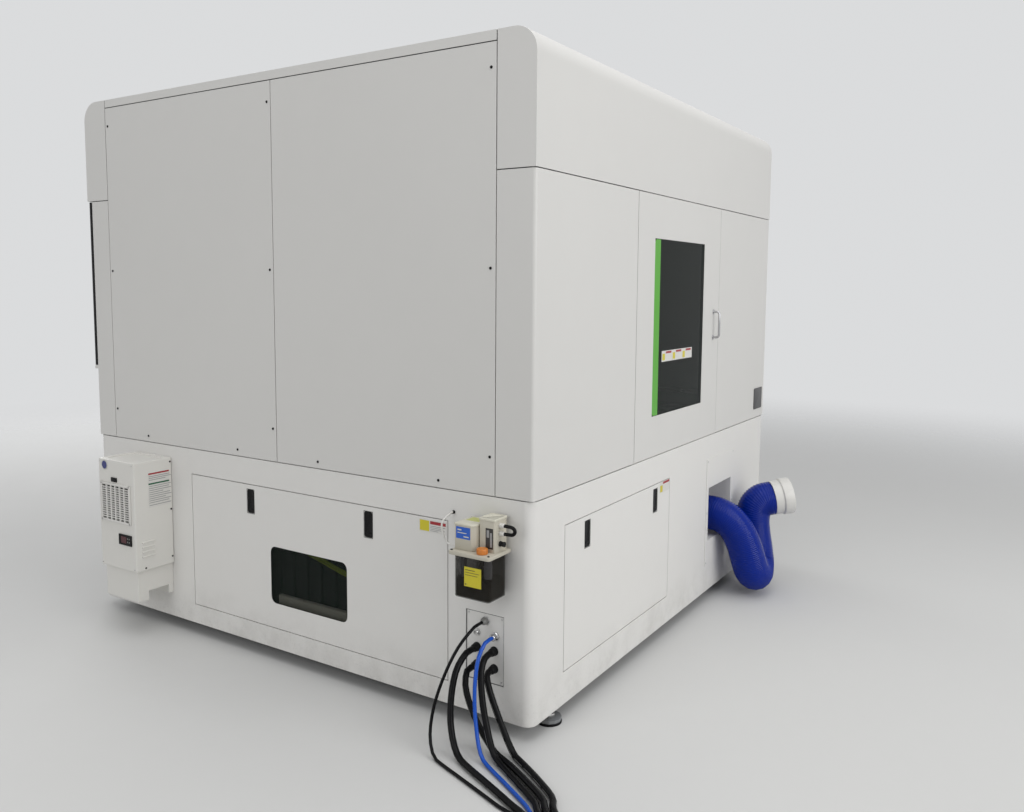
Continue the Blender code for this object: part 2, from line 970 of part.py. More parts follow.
def make_duct_plate():
    """The plate over the duct opening, with its sunk box and the spigot."""
    face = half_depth + seat_gap
    made = block(
        "duct_plate",
        (duct_plate_edges[0][0], face, duct_plate_edges[0][1]),
        (duct_plate_edges[1][0], face + sheet, duct_plate_edges[1][1]),
    )
    back = face - duct_recess_depth
    box = grown(duct_recess, -seat_gap - sheet)
    fuse(made, rear_block(*grown(duct_recess, -seat_gap), back - sheet, face + sheet / 2))
    cut(made, rear_block(*box, back, face + overrun))
    x, z = duct_centre
    facet_share = math.cos(math.pi / (2 * duct_sides_resolution + 4))
    outer = (duct_radius - duct_wall) * facet_share - 2 * seat_gap
    fuse(made, rod("spigot", (x, back - sheet / 2, z), (x, back + spigot_reach, z), outer))
    cut(
        made,
        rod(
            "spigot bore",
            (x, back - overrun, z),
            (x, back + spigot_reach + overrun, z),
            outer - spigot_wall,
        ),
    )
    return dress(settle(made), white_paint, smooth_angle=round_angle)


def duct_line(count):
    return smooth_route([(duct_centre[0], duct_start, duct_centre[1]), *duct_route], count)


def make_duct():
    """The ribbed duct: a tube whose radius rises and falls, with a smooth bore."""
    route = duct_line(2 * duct_ribs + 1)
    shape = bpy.data.curves.new("exhaust_duct", "CURVE")
    shape.dimensions = "3D"
    shape.bevel_depth = duct_radius
    shape.bevel_resolution = duct_sides_resolution
    shape.use_fill_caps = True
    line = shape.splines.new("POLY")
    line.points.add(len(route) - 1)
    for i, (point, place) in enumerate(zip(line.points, route)):
        point.co = (*place, 1)
        point.radius = 1 + (duct_rib / duct_radius if i % 2 else 0)
    outer = bpy.data.objects.new("exhaust_duct", shape)
    machine.objects.link(outer)
    made = solid_from_curve(outer)
    inner = duct_line(duct_ribs)
    first = inner[0] + (inner[0] - inner[1])
    last = inner[-1] + (inner[-1] - inner[-2])
    bore = duct_radius - duct_wall
    cut(made, tube("duct bore", [first, *inner, last], bore, duct_sides_resolution))
    return dress(settle(made), blue_hose, smooth_angle=math.radians(80))


def make_duct_cuff():
    """The white sleeve with its clamp band at the duct's far end."""
    line = duct_line(2 * duct_ribs + 1)
    end, way = line[-1], (line[-1] - line[-2]).normalized()
    band_start = cuff_length / 3
    profile = [
        (cuff_radius, cuff_length),
        (cuff_radius, band_start + cuff_band_width),
        (cuff_radius + cuff_band, band_start + cuff_band_width),
        (cuff_radius + cuff_band, band_start),
        (cuff_radius, band_start),
        (cuff_radius, 0),
        (cuff_bore, 0),
        (cuff_bore, cuff_length),
        (cuff_radius, cuff_length),
    ]
    made = turned("duct_cuff", profile, end + way * seat_gap, way)
    return dress(made, cuff_white, smooth_angle=round_angle)


# Air conditioner on the right-hand side
ac_depth = 0.168
ac_places = ((0.2495, 0.27), (0.4735, 0.696))
ac_edges = from_front(*ac_places)
ac_corner = 0.006
ac_grille_places = ((0.2675, 0.452), (0.4535, 0.606))
ac_grille_edges = from_front(*ac_grille_places)
ac_grille_thickness = 0.006
ac_grille_sink = 0.02
ac_slot = (0.021, 0.007)
ac_slot_columns = 6
ac_slot_rows = 8
ac_grille_margin = 0.009
ac_top_sink = 0.004
ac_top_margin = 0.022
ac_louvre = (0.055, 0.005, 0.006)
ac_louvre_step = 0.0185
ac_louvre_first = (0.115, 0.325)
ac_louvres = 4
ac_bracket_inset = 0.012
ac_bracket_bottom = 0.15
ac_arch = (0.02, 0.035, 0.09)


def make_air_conditioner():
    face = half_width + ac_depth
    wall = half_width + seat_gap
    (y0, z0), (y1, z1) = ac_edges
    made = block("ac_case", (wall, y0, z0), (face, y1, z1))
    soften(made, ac_corner)
    sink = grown(ac_grille_edges, -ac_grille_margin)
    cut(
        made,
        side_block(*sink, face - ac_grille_sink, face + overrun),
        block(
            "top recess",
            (wall + ac_top_margin, y0 + ac_top_margin, z1 - ac_top_sink),
            (face - ac_top_margin, y1 - ac_top_margin, z1 + overrun),
        ),
    )
    length, proud, height = ac_louvre
    for i in range(ac_louvres):
        x = half_width + ac_louvre_first[0]
        z = ac_louvre_first[1] + i * ac_louvre_step
        fin = block(
            "louvre",
            (x - length / 2, y1 - proud, z),
            (x + length / 2, y1 + proud, z + height),
        )
        fuse(made, soften(fin, proud / 3))
    dress(settle(made), pale_paint)
    (a0, b0), (a1, b1) = ac_grille_edges
    grille = block(
        "ac_grille",
        (face + seat_gap, a0, b0),
        (face + seat_gap + ac_grille_thickness, a1, b1),
    )
    soften(grille, ac_grille_thickness / 3)
    inner_width = a1 - a0 - 2 * ac_grille_margin
    inner_height = b1 - b0 - 2 * ac_grille_margin
    slots = []
    for i in range(ac_slot_columns):
        for j in range(ac_slot_rows):
            y = a0 + ac_grille_margin + inner_width * (i + 0.5) / ac_slot_columns
            z = b0 + ac_grille_margin + inner_height * (j + 0.5) / ac_slot_rows
            half = (ac_slot[0] / 2, ac_slot[1] / 2)
            slots.append(((y - half[0], z - half[1]), (y + half[0], z + half[1])))
    loops = [rounded_box(*slot, 0)[::-1] for slot in slots]
    cut(grille, plate("slots", loops, face, face + ac_grille_thickness + overrun, facing_side))
    dress(settle(grille), white_paint)
    low = ac_bracket_bottom
    inset = ac_bracket_inset
    leg, arch_height, arch_width = ac_arch
    bracket = block(
        "ac_bracket",
        (wall, y0 + inset, low),
        (face - inset, y1 - inset, z0 - seat_gap),
    )
    cut(
        bracket,
        block(
            "arch",
            (wall + leg, y0, low - overrun),
            (wall + leg + arch_width, y1, low + arch_height),
        ),
    )
    dress(settle(bracket), pale_paint)


# Lubricator, in Y along the side and Z; depths are from the machine's side
lub_flange_places = ((0.2205, 0.583), (0.0725, 0.595))
lub_flange = from_rear(*lub_flange_places)
lub_flange_depth = 0.122
lub_tank_places = ((0.2105, 0.452), (0.0825, 0.583))
lub_tank = from_rear(*lub_tank_places)
lub_tank_depths = (0.012, 0.106)
lub_tank_corner = 0.012
lub_wall = 0.003
lub_pump_places = ((0.2105, 0.595), (0.1395, 0.672))
lub_pump = from_rear(*lub_pump_places)
lub_pump_depths = (0.012, 0.1)
lub_timer_places = ((0.1375, 0.595), (0.0825, 0.69))
lub_timer = from_rear(*lub_timer_places)
lub_timer_depths = (0.012, 0.078)
lub_lid = 0.007
lub_corner = 0.004
cap_depth = 0.098
cap_back = 0.1125
cap_radius = 0.017
cap_height = 0.018
neck_radius = 0.011
neck_height = 0.012
cap_grip_depth = 0.0015
cap_grips = 10
gland_radius = 0.0075
gland_length = 0.016
gland_heights = (0.674, 0.65)
gland_depth = 0.05
loop_radius = 0.0045
loop_reach = 0.052
loop_share = 1.5
loop_points = 8
pipe_radius = 0.003
pipe_wall_place = (0.2865, 0.674)
# The oil pipe's points: out from the wall, along the wall, and up
pipe_steps = (
    (0.016, 0, 0),
    (0.05, -0.006, -0.02),
    (0.058, 0, -0.05),
    (0.059, 0.02, -0.08),
)


def make_lubricator():
    def from_wall(depth):
        return half_width + depth

    def unit(name, edges, depths, corner):
        (y0, z0), (y1, z1) = edges
        made = block(name, (from_wall(depths[0]), y0, z0), (from_wall(depths[1]), y1, z1))
        return soften(made, corner)

    flange = unit("lubricator_head", lub_flange, (seat_gap, lub_flange_depth), lub_corner)
    pump = unit("pump", lub_pump, lub_pump_depths, lub_corner)
    timer = unit("timer", lub_timer, lub_timer_depths, lub_corner)
    sink = lub_corner
    for part in (pump, timer):
        part.location.z -= sink / 2
    lid = unit(
        "lid",
        (
            (lub_timer[0][0] + lub_corner, lub_timer[1][1] - sink),
            (lub_timer[1][0] - lub_corner, lub_timer[1][1] + lub_lid),
        ),
        lub_timer_depths,
        lub_corner / 2,
    )
    fuse(flange, pump, timer, lid)
    x = from_wall(gland_depth)
    y = lub_timer[1][0]
    for z in gland_heights:
        start, end = (x, y - sink, z), (x, y + gland_length, z)
        fuse(flange, rod("gland", start, end, gland_radius, small_steps))
    high, low = gland_heights
    middle, reach = (high + low) / 2, y + loop_reach
    loop = [
        (x, y + gland_length / 2, high),
        (x, y + gland_length * loop_share, high),
        (x, reach - gland_radius, high - gland_radius / 4),
        (x, reach, middle),
        (x, reach - gland_radius, low + gland_radius / 4),
        (x, y + gland_length * loop_share, low),
        (x, y + gland_length / 2, low),
    ]
    fuse(flange, tube("cable loop", smooth_route(loop, loop_points), loop_radius))
    start_y, start_z = from_rear(pipe_wall_place)[0]
    end_x, end_z = from_wall(lub_flange_depth / 2), (lub_flange[0][1] + lub_flange[1][1]) / 2
    pipe_start = (from_wall(seat_gap), start_y, start_z)
    pipe = [
        *((from_wall(out), start_y + along, start_z + up) for out, along, up in pipe_steps),
        (end_x, lub_flange[0][0] + lub_corner, end_z),
    ]
    fuse(flange, tube("oil pipe", [pipe_start, *smooth_route(pipe, loop_points)], pipe_radius))
    cap_x, cap_y = from_wall(cap_depth), half_depth - cap_back
    deck = lub_flange[1][1]
    neck = rod(
        "filler neck",
        (cap_x, cap_y, deck - sink),
        (cap_x, cap_y, deck + neck_height),
        neck_radius,
    )
    fuse(flange, neck)
    dress(settle(flange), beige_plastic, smooth_angle=round_angle)

    make_tank(from_wall)

    pivot = empty("lubricator_cap_pivot", (cap_x, cap_y, deck), root)
    bottom = deck + seat_gap * 2
    cap = plate(
        "lubricator_cap",
        (knurl((cap_x, cap_y), cap_radius),),
        bottom,
        bottom + cap_height,
        lying,
    )
    cut(
        cap,
        rod(
            "cap bore",
            (cap_x, cap_y, bottom - overrun),
            (cap_x, cap_y, bottom + neck_height + seat_gap),
            neck_radius + seat_gap,
        ),
    )
    dress(settle(cap), orange_plastic, pivot)


def knurl(centre, radius):
    """A round outline whose edge rises and falls, as a filler cap's grip does."""
    points = []
    for i in range(2 * cap_grips):
        angle = math.pi * i / cap_grips
        reach = radius - (cap_grip_depth if i % 2 else 0)
        points.append(
            (centre[0] + reach * math.cos(angle), centre[1] + reach * math.sin(angle))
        )
    return points


smoky_angle = math.radians(30)


def make_tank(from_wall):
    """The oil tank: a thin-walled box with round corners, open at the top."""
    (y0, z0), (y1, z1) = lub_tank
    z1 -= seat_gap
    near, far = from_wall(lub_tank_depths[0]), from_wall(lub_tank_depths[1])
    edges = ((near, y0), (far, y1))
    made = plate(
        "lubricator_tank", (rounded_box(*edges, lub_tank_corner),), z0, z1, lying
    )
    inside = grown(edges, -lub_wall)
    cut(
        made,
        plate(
            "tank hollow",
            (rounded_box(*inside, lub_tank_corner - lub_wall),),
            z0 + lub_wall,
            z1 + overrun,
            lying,
        ),
    )
    dress(settle(made), smoky_plastic, smooth_angle=smoky_angle)


# Cutting table and scrap drawer
ledge_width = 0.04
ledge_height = 0.04
table_bar = 0.045
table_drop = 0.1
table_bottom = bed_top - table_drop
table_end_gap = 0.14
table_depth = bed_depth - 2 * table_end_gap
slats = 14
slat_thickness = 0.003
slat_height = 0.05
slat_teeth = 8
tooth_height = 0.016
drawer_wall = 0.003
drawer_length = 1.5
drawer_height = 0.22
drawer_inset = 0.02
drawer_slot = ((-0.08, 0.4), (0.08, 0.435))
runner_place = 0.48
runner_width = 0.04
bed_inner = bed_wall_offset - bed_wall_width / 2


def make_bed_fittings():
    """The table's ledges and the drawer's runners, which are welded to the bed."""
    extra = []
    for sx in (-1, 1):
        near, far = sx * (bed_inner - ledge_width), sx * (bed_inner + overrun)
        pair = sorted((near, far))
        extra.append(
            block(
                "table ledge",
                (pair[0], -table_depth / 2, table_bottom - ledge_height),
                (pair[1], table_depth / 2, table_bottom - seat_gap),
            )
        )
        middle = sx * runner_place
        extra.append(
            block(
                "drawer runner",
                (middle - runner_width / 2, -bed_depth / 2, foot_height + base_bar / 2),
                (middle + runner_width / 2, bed_depth / 2, drawer_hole[0][1] + seam - seat_gap),
            )
        )
    return extra


def slat_outline(reach):
    """The side view of one slat: a strip whose upper edge is cut into saw teeth."""
    low = table_bottom + seat_gap
    base, tip = low + slat_height, low + slat_height + tooth_height
    pitch = 2 * reach / slat_teeth
    points = [(-reach, low), (reach, low)]
    for i in range(slat_teeth):
        right = reach - i * pitch
        points += [(right, base), (right - pitch / 2, tip)]
    points.append((-reach, base))
    return points


def make_cutting_table():
    """A frame that lies on the bed's ledges, with its sawtooth slats set across it."""
    out_x = bed_inner - seat_gap
    half = table_depth / 2
    low, high = table_bottom, table_bottom + table_bar
    made = plate(
        "cutting_table",
        (
            rounded_box((-out_x, -half), (out_x, half), 0),
            rounded_box(
                (table_bar - out_x, table_bar - half), (out_x - table_bar, half - table_bar), 0
            ),
        ),
        low,
        high,
        lying,
    )
    inner = half - table_bar
    pitch = 2 * inner / slats
    outline = slat_outline(out_x - table_bar / 2)
    first = None
    for i in range(slats):
        middle = (i + 0.5) * pitch - inner
        slat = plate(
            "slat",
            (outline,),
            middle - slat_thickness / 2,
            middle + slat_thickness / 2,
            facing_rear,
        )
        if first is None:
            first = slat
        else:
            add_mesh(first, slat)
    fuse(made, first)
    return dress(settle(made), steel)


def add_mesh(target, other):
    """Puts another object's shape into the target's mesh, as a separate solid."""
    form = bmesh.new()
    form.from_mesh(target.data)
    form.from_mesh(other.data)
    form.to_mesh(target.data)
    form.free()
    bpy.data.objects.remove(other, do_unlink=True)


def make_scrap_drawer():
    (x0, z0), (x1, z1) = grown(drawer_hole, -seam)
    pivot = empty("scrap_drawer_pivot", (0, -half_depth, z0), root)
    made = block("scrap_drawer", (x0, -half_depth, z0), (x1, sheet - half_depth, z1))
    box_low = z0
    inset = drawer_inset
    tray = block(
        "drawer tray",
        (x0 + inset, sheet / 2 - half_depth, box_low),
        (x1 - inset, drawer_length - half_depth, box_low + drawer_height),
    )
    fuse(made, tray)
    wall = drawer_wall
    cut(
        made,
        block(
            "drawer hollow",
            (x0 + inset + wall, sheet - half_depth, box_low + wall),
            (
                x1 - inset - wall,
                drawer_length - wall - half_depth,
                box_low + drawer_height + overrun,
            ),
        ),
        plate(
            "finger slot",
            (rounded_box(*drawer_slot, (drawer_slot[1][1] - drawer_slot[0][1]) / 2 - seat_gap),),
            -half_depth - overrun,
            overrun - half_depth,
            facing_rear,
        ),
    )
    return dress(settle(made), pale_paint, pivot)


# Gantry, carriage and head
rail_width = 0.023
rail_height = 0.024
rail_waist = 0.004
rail_end_gap = 0.06
rail_length = bed_depth - 2 * rail_end_gap
beam_middle = 0.3
beam_depth = 0.14
beam_height = 0.15
beam_wall = 0.008
beam_corner = 0.013
beam_rise = 0.07
beam_bottom = bed_top + beam_rise
truck_length = 0.2
truck_width = 0.08
cross_rail = 0.015
cross_rail_inset = 0.025
carriage_width = 0.16
carriage_thickness = 0.03
carriage_height = 0.2
head_middle_reach = 0.062
head_radius = 0.034
head_slide_width = 0.05
nozzle_rise = 0.04
nozzle_height = bed_top + nozzle_rise


def rail_outline(middle, low):
    """The section of a profiled rail, with its waist."""
    half, height = rail_width / 2, rail_height
    side = [
        (half, 0),
        (half, height * rail_shares[0]),
        (half - rail_waist, height * rail_shares[1]),
        (half - rail_waist, height * rail_shares[2]),
        (half, height * rail_shares[3]),
        (half, height),
    ]
    points = side + [(-a, b) for a, b in reversed(side)]
    return [(middle + a, low + b) for a, b in points]


rail_shares = (0.3, 0.45, 0.6, 0.75)


def make_rails():
    for name, sx in (("left_rail", -1), ("right_rail", 1)):
        outline = rail_outline(sx * bed_wall_offset, bed_top + seat_gap)
        made = plate(name, (outline,), -rail_length / 2, rail_length / 2, facing_rear)
        dress(made, steel)


def make_gantry():
    """The hollow beam on its two trucks, which ride on the bed's rails."""
    pivot = empty("gantry_pivot", (0, beam_middle, bed_top), root)
    half = beam_depth / 2
    outer = ((beam_middle - half, beam_bottom), (beam_middle + half, beam_bottom + beam_height))
    end = bed_wall_offset + truck_width / 2 - overrun
    made = plate(
        "gantry_beam",
        (rounded_box(*outer, beam_corner), rounded_box(*grown(outer, -beam_wall), 0)),
        -end,
        end,
        facing_side,
    )
    extra = []
    for sx in (-1, 1):
        middle = sx * bed_wall_offset
        truck = block(
            "truck",
            (
                middle - truck_width / 2,
                beam_middle - truck_length / 2,
                bed_top + rail_height / 4,
            ),
            (
                middle + truck_width / 2,
                beam_middle + truck_length / 2,
                beam_bottom + beam_wall / 2,
            ),
        )
        groove = block(
            "truck groove",
            (
                middle - rail_width / 2 - seat_gap,
                beam_middle - truck_length,
                bed_top,
            ),
            (
                middle + rail_width / 2 + seat_gap,
                beam_middle + truck_length,
                bed_top + rail_height + 2 * seat_gap,
            ),
        )
        soften(truck, rail_waist)
        cut(truck, groove)
        extra.append(settle(truck))
    front = beam_middle - half
    for height in (
        beam_bottom + cross_rail_inset,
        beam_bottom + beam_height - cross_rail_inset,
    ):
        extra.append(
            block(
                "cross rail",
                (-bed_inner, front - cross_rail, height - cross_rail / 2),
                (bed_inner, front + beam_wall / 2, height + cross_rail / 2),
            )
        )
    fuse(made, *extra)
    dress(settle(made), aluminium, pivot)

    carriage_pivot = empty("carriage_pivot", (0, front, beam_bottom), pivot)
    face = front - cross_rail - seat_gap
    low = beam_bottom - (carriage_height - beam_height) / 2
    carriage = block(
        "carriage",
        (-carriage_width / 2, face - carriage_thickness, low),
        (carriage_width / 2, face, low + carriage_height),
    )
    soften(carriage, rail_waist)
    groove = block(
        "slide groove",
        (
            -head_slide_width / 2 - seat_gap,
            face - carriage_thickness - overrun,
            low - overrun,
        ),
        (
            head_slide_width / 2 + seat_gap,
            face - carriage_thickness / 2,
            low + carriage_height + overrun,
        ),
    )
    cut(carriage, groove)
    dress(settle(carriage), pale_paint, carriage_pivot)
    make_head(carriage_pivot, face, low)


head_profile_shares = (
    (0.9, 1.0),
    (0.9, 0.86),
    (0.62, 0.84),
    (0.62, 0.72),
    (1.0, 0.7),
    (1.0, 0.42),
    (0.8, 0.38),
    (0.8, 0.2),
    (0.5, 0.12),
    (0.3, 0.1),
    (0.12, 0.0),
)
head_height = 0.36


def make_head(carriage_pivot, face, low):
    """The cutting head: a stepped turned body with its nozzle, on a slide block."""
    pivot = empty("head_pivot", (0, face, low), carriage_pivot)
    y = face - carriage_thickness - head_middle_reach / 2
    profile = [(r * head_radius, h * head_height) for r, h in head_profile_shares]
    profile = [(0, head_height), *profile, (0, 0)]
    made = turned("cutting_head", profile, (0, y, nozzle_height), (0, 0, 1), small_steps)
    back = face - carriage_thickness / 2 - seat_gap
    slide_low, slide_high = low + cross_rail, low + carriage_height - cross_rail
    fuse(
        made,
        block(
            "slide",
            (-head_slide_width / 2, y + head_radius / 3, slide_low),
            (head_slide_width / 2, back, slide_high),
        ),
    )
    return dress(settle(made), chrome, pivot, smooth_angle=round_angle)


laser_side_gaps = (0.18, 0.035)
laser_ends = (-0.12, 0.5)
laser_heights = (0.16, 0.46)
laser_fins = 9
laser_fin_depth = 0.012


def make_laser_source():
    """The fiber source beside the bed, seen through the side window."""
    x0, x1 = (half_width - gap for gap in laser_side_gaps)
    y0, y1 = laser_ends
    low, high = laser_heights
    shelf = foot_height + base_bar + seat_gap
    made = block("laser_source", (x0, y0, low), (x1, y1, high))
    pitch = (y1 - y0) / laser_fins
    for i in range(laser_fins):
        middle = y0 + (i + 0.5) * pitch
        cut(
            made,
            block(
                "fin gap",
                (x1 - laser_fin_depth, middle - pitch / 4, low + laser_fin_depth),
                (x1 + overrun, middle + pitch / 4, high - laser_fin_depth),
            ),
        )
    for y in (y0 + pitch, y1 - pitch):
        fuse(
            made,
            block("stand", (x1 - pitch, y - pitch / 4, shelf), (x1, y + pitch / 4, low + overrun)),
        )
    return dress(settle(made), frame_paint)


# Front
shelf_low = 1.018
shelf_proud = 0.022
fascia_pane = 0.006
door_depth = 0.012
door_frame_width = 0.05
door_overlap = 0.05
fascia_inset = 0.006
fascia_reach = half_width - fascia_inset
stop_place = (0.72, 0.89)
stop_radius = 0.02
stop_stem = 0.008
stop_travel = 0.006
# The mushroom's outline: its radius and its height, as shares of the stop's radius
stop_shares = ((0, 1.7), (0.8, 1.6), (1, 1.3))


def make_front():
    face = -half_depth
    edges = (
        (-front_opening_half_width, lower_top),
        (front_opening_half_width, front_band_bottom),
    )
    made = panel_of("front_panel", edges, 1, face)
    proud = face - seat_gap
    fuse(
        made,
        block(
            "door shelf",
            (-fascia_reach, proud - shelf_proud, shelf_low),
            (fascia_reach, proud, front_band_bottom - seam),
        ),
        block(
            "shelf root",
            (-front_opening_half_width + overrun, proud - sheet, shelf_low),
            (
                front_opening_half_width - overrun,
                face + sheet / 2,
                front_band_bottom - seam - sheet / 2,
            ),
        ),
    )
    x, z = stop_place
    cut(
        made,
        rod(
            "stop hole",
            (x, face - overrun, z),
            (x, face + tray_depth / 2, z),
            stop_stem + seat_gap,
        ),
    )
    dress(settle(made), white_paint)
    low, high = front_band_bottom - seam + seat_gap, cowl_bottom - seam
    pane_edges = ((-fascia_reach, low), (door_overlap / 2, high))
    pane_faces = sorted((proud, proud - fascia_pane))
    fixed = plate("front_fixed_window", (rounded_box(*pane_edges, 0),), *pane_faces, facing_rear)
    dress(fixed, dark_glass)
    pivot = empty("front_door_pivot", (0, proud, low), root)
    outer = ((-door_overlap / 2, low), (fascia_reach, high))
    near = proud - fascia_pane - 2 * seat_gap
    faces = sorted((near, near - door_depth))
    frame_loops = (rounded_box(*outer, 0), rounded_box(*grown(outer, -door_frame_width), 0))
    frame = plate("front_door", frame_loops, *faces, facing_rear)
    dress(frame, black_plastic, pivot)
    inner = grown(outer, -door_frame_width - seat_gap)
    middle = (faces[0] + faces[1]) / 2
    glass = plate(
        "front_door_window",
        (rounded_box(*inner, 0),),
        middle - fascia_pane / 2,
        middle + fascia_pane / 2,
        facing_rear,
    )
    dress(glass, dark_glass, pivot)
    button_pivot = empty("emergency_stop_pivot", (x, face, z), root)
    profile = [
        *((stop_radius * out, stop_radius * up) for out, up in stop_shares),
        (stop_radius, stop_travel + seat_gap),
        (stop_stem, stop_travel + seat_gap),
        (stop_stem, -tray_depth / 3),
        (0, -tray_depth / 3),
    ]
    stop = turned("emergency_stop", profile, (x, face, z), (0, -1, 0))
    dress(stop, red_plastic, button_pivot, smooth_angle=round_angle)


# Free lines: where they are wound up, and the way they come in to the coil
coil_middle = (1.75, 1.467)
coil_inner_radius = 0.1
coil_turns = 2
line_gap = 0.001
ribbon_way = (0.6, 0.8)
ribbon_side = (0.8, -0.6)
ribbon_length = 0.33
line_points = 17
straight_run = 0.012
coupling_length = 0.05
coupling_wall = 0.004
line_order = ("power_cable", "hose_1", "air_tube", "hose_2", "hose_3", "hose_4")

# The routes between the fittings and the place where the lines run side by side
line_routes = {
    "power_cable": (
        (1.172, 0.898, 0.347),
        (1.225, 0.88, 0.3),
        (1.262, 0.856, 0.22),
        (1.288, 0.838, 0.13),
        (1.31, 0.842, 0.05),
        (1.336, 0.885, 0.005),
        (1.378, 1.01, 0.005),
        (1.425, 1.15, 0.005),
    ),
    "hose_1": (
        (1.17, 0.867, 0.258),
        (1.215, 0.866, 0.222),
        (1.248, 0.872, 0.15),
        (1.272, 0.89, 0.075),
        (1.298, 0.932, 0.018),
        (1.33, 1.0, 0.01),
        (1.368, 1.09, 0.01),
        (1.41, 1.185, 0.01),
    ),
    "air_tube": (
        (1.165, 0.935, 0.305),
        (1.2, 0.935, 0.265),
        (1.226, 0.942, 0.185),
        (1.245, 0.96, 0.095),
        (1.268, 0.995, 0.02),
        (1.3, 1.06, 0.006),
        (1.345, 1.145, 0.006),
        (1.394, 1.23, 0.006),
    ),
    "hose_2": (
        (1.16, 0.933, 0.259),
        (1.19, 0.94, 0.228),
        (1.21, 0.958, 0.16),
        (1.225, 0.985, 0.085),
        (1.246, 1.025, 0.022),
        (1.278, 1.085, 0.01),
        (1.322, 1.16, 0.01),
        (1.372, 1.24, 0.01),
    ),
    "hose_3": (
        (1.165, 0.87, 0.202),
        (1.192, 0.885, 0.168),
        (1.205, 0.918, 0.11),
        (1.212, 0.965, 0.05),
        (1.225, 1.02, 0.012),
        (1.252, 1.085, 0.01),
        (1.295, 1.165, 0.01),
        (1.348, 1.25, 0.01),
    ),
    "hose_4": (
        (1.156, 0.937, 0.203),
        (1.172, 0.958, 0.17),
        (1.178, 0.992, 0.105),
        (1.186, 1.03, 0.045),
        (1.202, 1.068, 0.012),
        (1.23, 1.12, 0.01),
        (1.272, 1.19, 0.01),
        (1.325, 1.265, 0.01),
    ),
}


def coil_radii():
    """How far from the coil's middle each line is wound, from the inside out."""
    radii, reach = {}, coil_inner_radius
    for name in line_order:
        radius = ports[name][2]
        radii[name] = reach + radius
        reach += 2 * radius + line_gap
    return radii, reach - line_gap


def coil_height():
    return coil_turns * 2 * thick_hose_radius + 2 * thick_hose_radius


def ribbon_point(radius, back, height):
    """A point on the straight run towards the coil, so far before it is wound up."""
    return (
        coil_middle[0] - radius * ribbon_side[0] - back * ribbon_way[0],
        coil_middle[1] - radius * ribbon_side[1] - back * ribbon_way[1],
        height,
    )


def make_lines():
    """The free lines: a plain tube each, one solid for the coil, and the couplings."""
    radii, outer = coil_radii()
    start_x = half_width - skin - seat_gap + fitting_reach + seat_gap
    look = {"power_cable": black_hose, "air_tube": blue_tube}
    for name in line_order:
        y, z, radius = ports[name]
        edge = math.sqrt(outer**2 - (radii[name] - radius) ** 2) + 2 * seat_gap
        start = Vector((start_x, y, z))
        route = [
            (start_x + straight_run, y, z),
            *line_routes[name],
            ribbon_point(radii[name], ribbon_length, radius),
            ribbon_point(radii[name], edge, radius),
        ]
        points = [start, *smooth_route(route, line_points)]
        for point in points:
            point.z = max(point.z, radius)
        colour = look.get(name, black_hose)
        dress(tube(name, points, radius), colour, smooth_angle=round_angle)
    height = coil_height()
    profile = [
        (outer, height),
        (outer, 0),
        (coil_inner_radius, 0),
        (coil_inner_radius, height),
        (outer, height),
    ]
    coil = turned("line_coil", profile, (*coil_middle, 0), (0, 0, 1))
    dress(coil, black_hose, smooth_angle=round_angle)
    for i, name in enumerate(line_order):
        make_coupling(name, i, radii[name], height)


def make_coupling(name, i, radius, height):
    """The stepped sleeve on a line's far end, lying on the coil."""
    bore = ports[name][2]
    angle = math.radians(coupling_first_angle + i * coupling_angle_step)
    way = Vector((-math.sin(angle), math.cos(angle), 0))
    middle = Vector(
        (
            coil_middle[0] + radius * math.cos(angle),
            coil_middle[1] + radius * math.sin(angle),
            height + bore + coupling_wall + seat_gap,
        )
    )
    wide = bore + coupling_wall
    profile = [
        (0, coupling_length),
        (bore, coupling_length),
        (bore, coupling_length * coupling_step_shares[1]),
        (wide, coupling_length * coupling_step_shares[1]),
        (wide, coupling_length * coupling_step_shares[0]),
        (bore, coupling_length * coupling_step_shares[0]),
        (bore, 0),
        (0, 0),
    ]
    start = middle - way * coupling_length / 2
    made = turned(name + "_coupling", profile, start, way, small_steps)
    dress(made, brass, smooth_angle=round_angle)


coupling_first_angle = 200
coupling_angle_step = 50
coupling_step_shares = (0.35, 0.75)


def place_origin():
    """Moves the machine so that its origin is the middle of its base, lines apart."""
    loose = {"line_coil", *line_order, *(name + "_coupling" for name in line_order)}
    bpy.context.view_layer.update()
    corners = [
        thing.matrix_world @ Vector(corner)
        for thing in machine.objects
        if thing.type == "MESH" and thing.name not in loose
        for corner in thing.bound_box
    ]
    middle = [(min(c[i] for c in corners) + max(c[i] for c in corners)) / 2 for i in (0, 1)]
    root.location = (-middle[0], -middle[1], 0)


def make_side_panels():
    top = machine_top - roof_strip - seam
    for side, sx in (("right", 1), ("left", -1)):
        side_panel(side + "_front_panel", sx, front_cap_edge, panel_split, top)
        side_panel(side + "_rear_panel", sx, panel_split, rear_cap_edge, top)
        inner = rear_door_half_width
        corner_panel("rear_" + side + "_corner", sx, 1, inner, rear_cap_edge)
        inner = front_opening_half_width
        corner_panel("front_" + side + "_corner", sx, -1, inner, front_cap_edge)


def build_machine():
    make_bed_frame()
    make_lower_cabinet()
    make_upper_frame()
    make_side_panels()
    cowl("rear_cowl", 1, rear_cap_edge, 0)
    cowl("front_cowl", -1, front_cap_edge, front_overhang)
    make_roof()
    make_side_access()
    make_rear_access()
    make_rear_door()
    make_front()
    make_connector_plate()
    make_duct_plate()
    make_duct()
    make_duct_cuff()
    make_air_conditioner()
    make_lubricator()
    make_cutting_table()
    make_scrap_drawer()
    make_rails()
    make_gantry()
    make_laser_source()
    make_lines()
    place_origin()


build_machine()
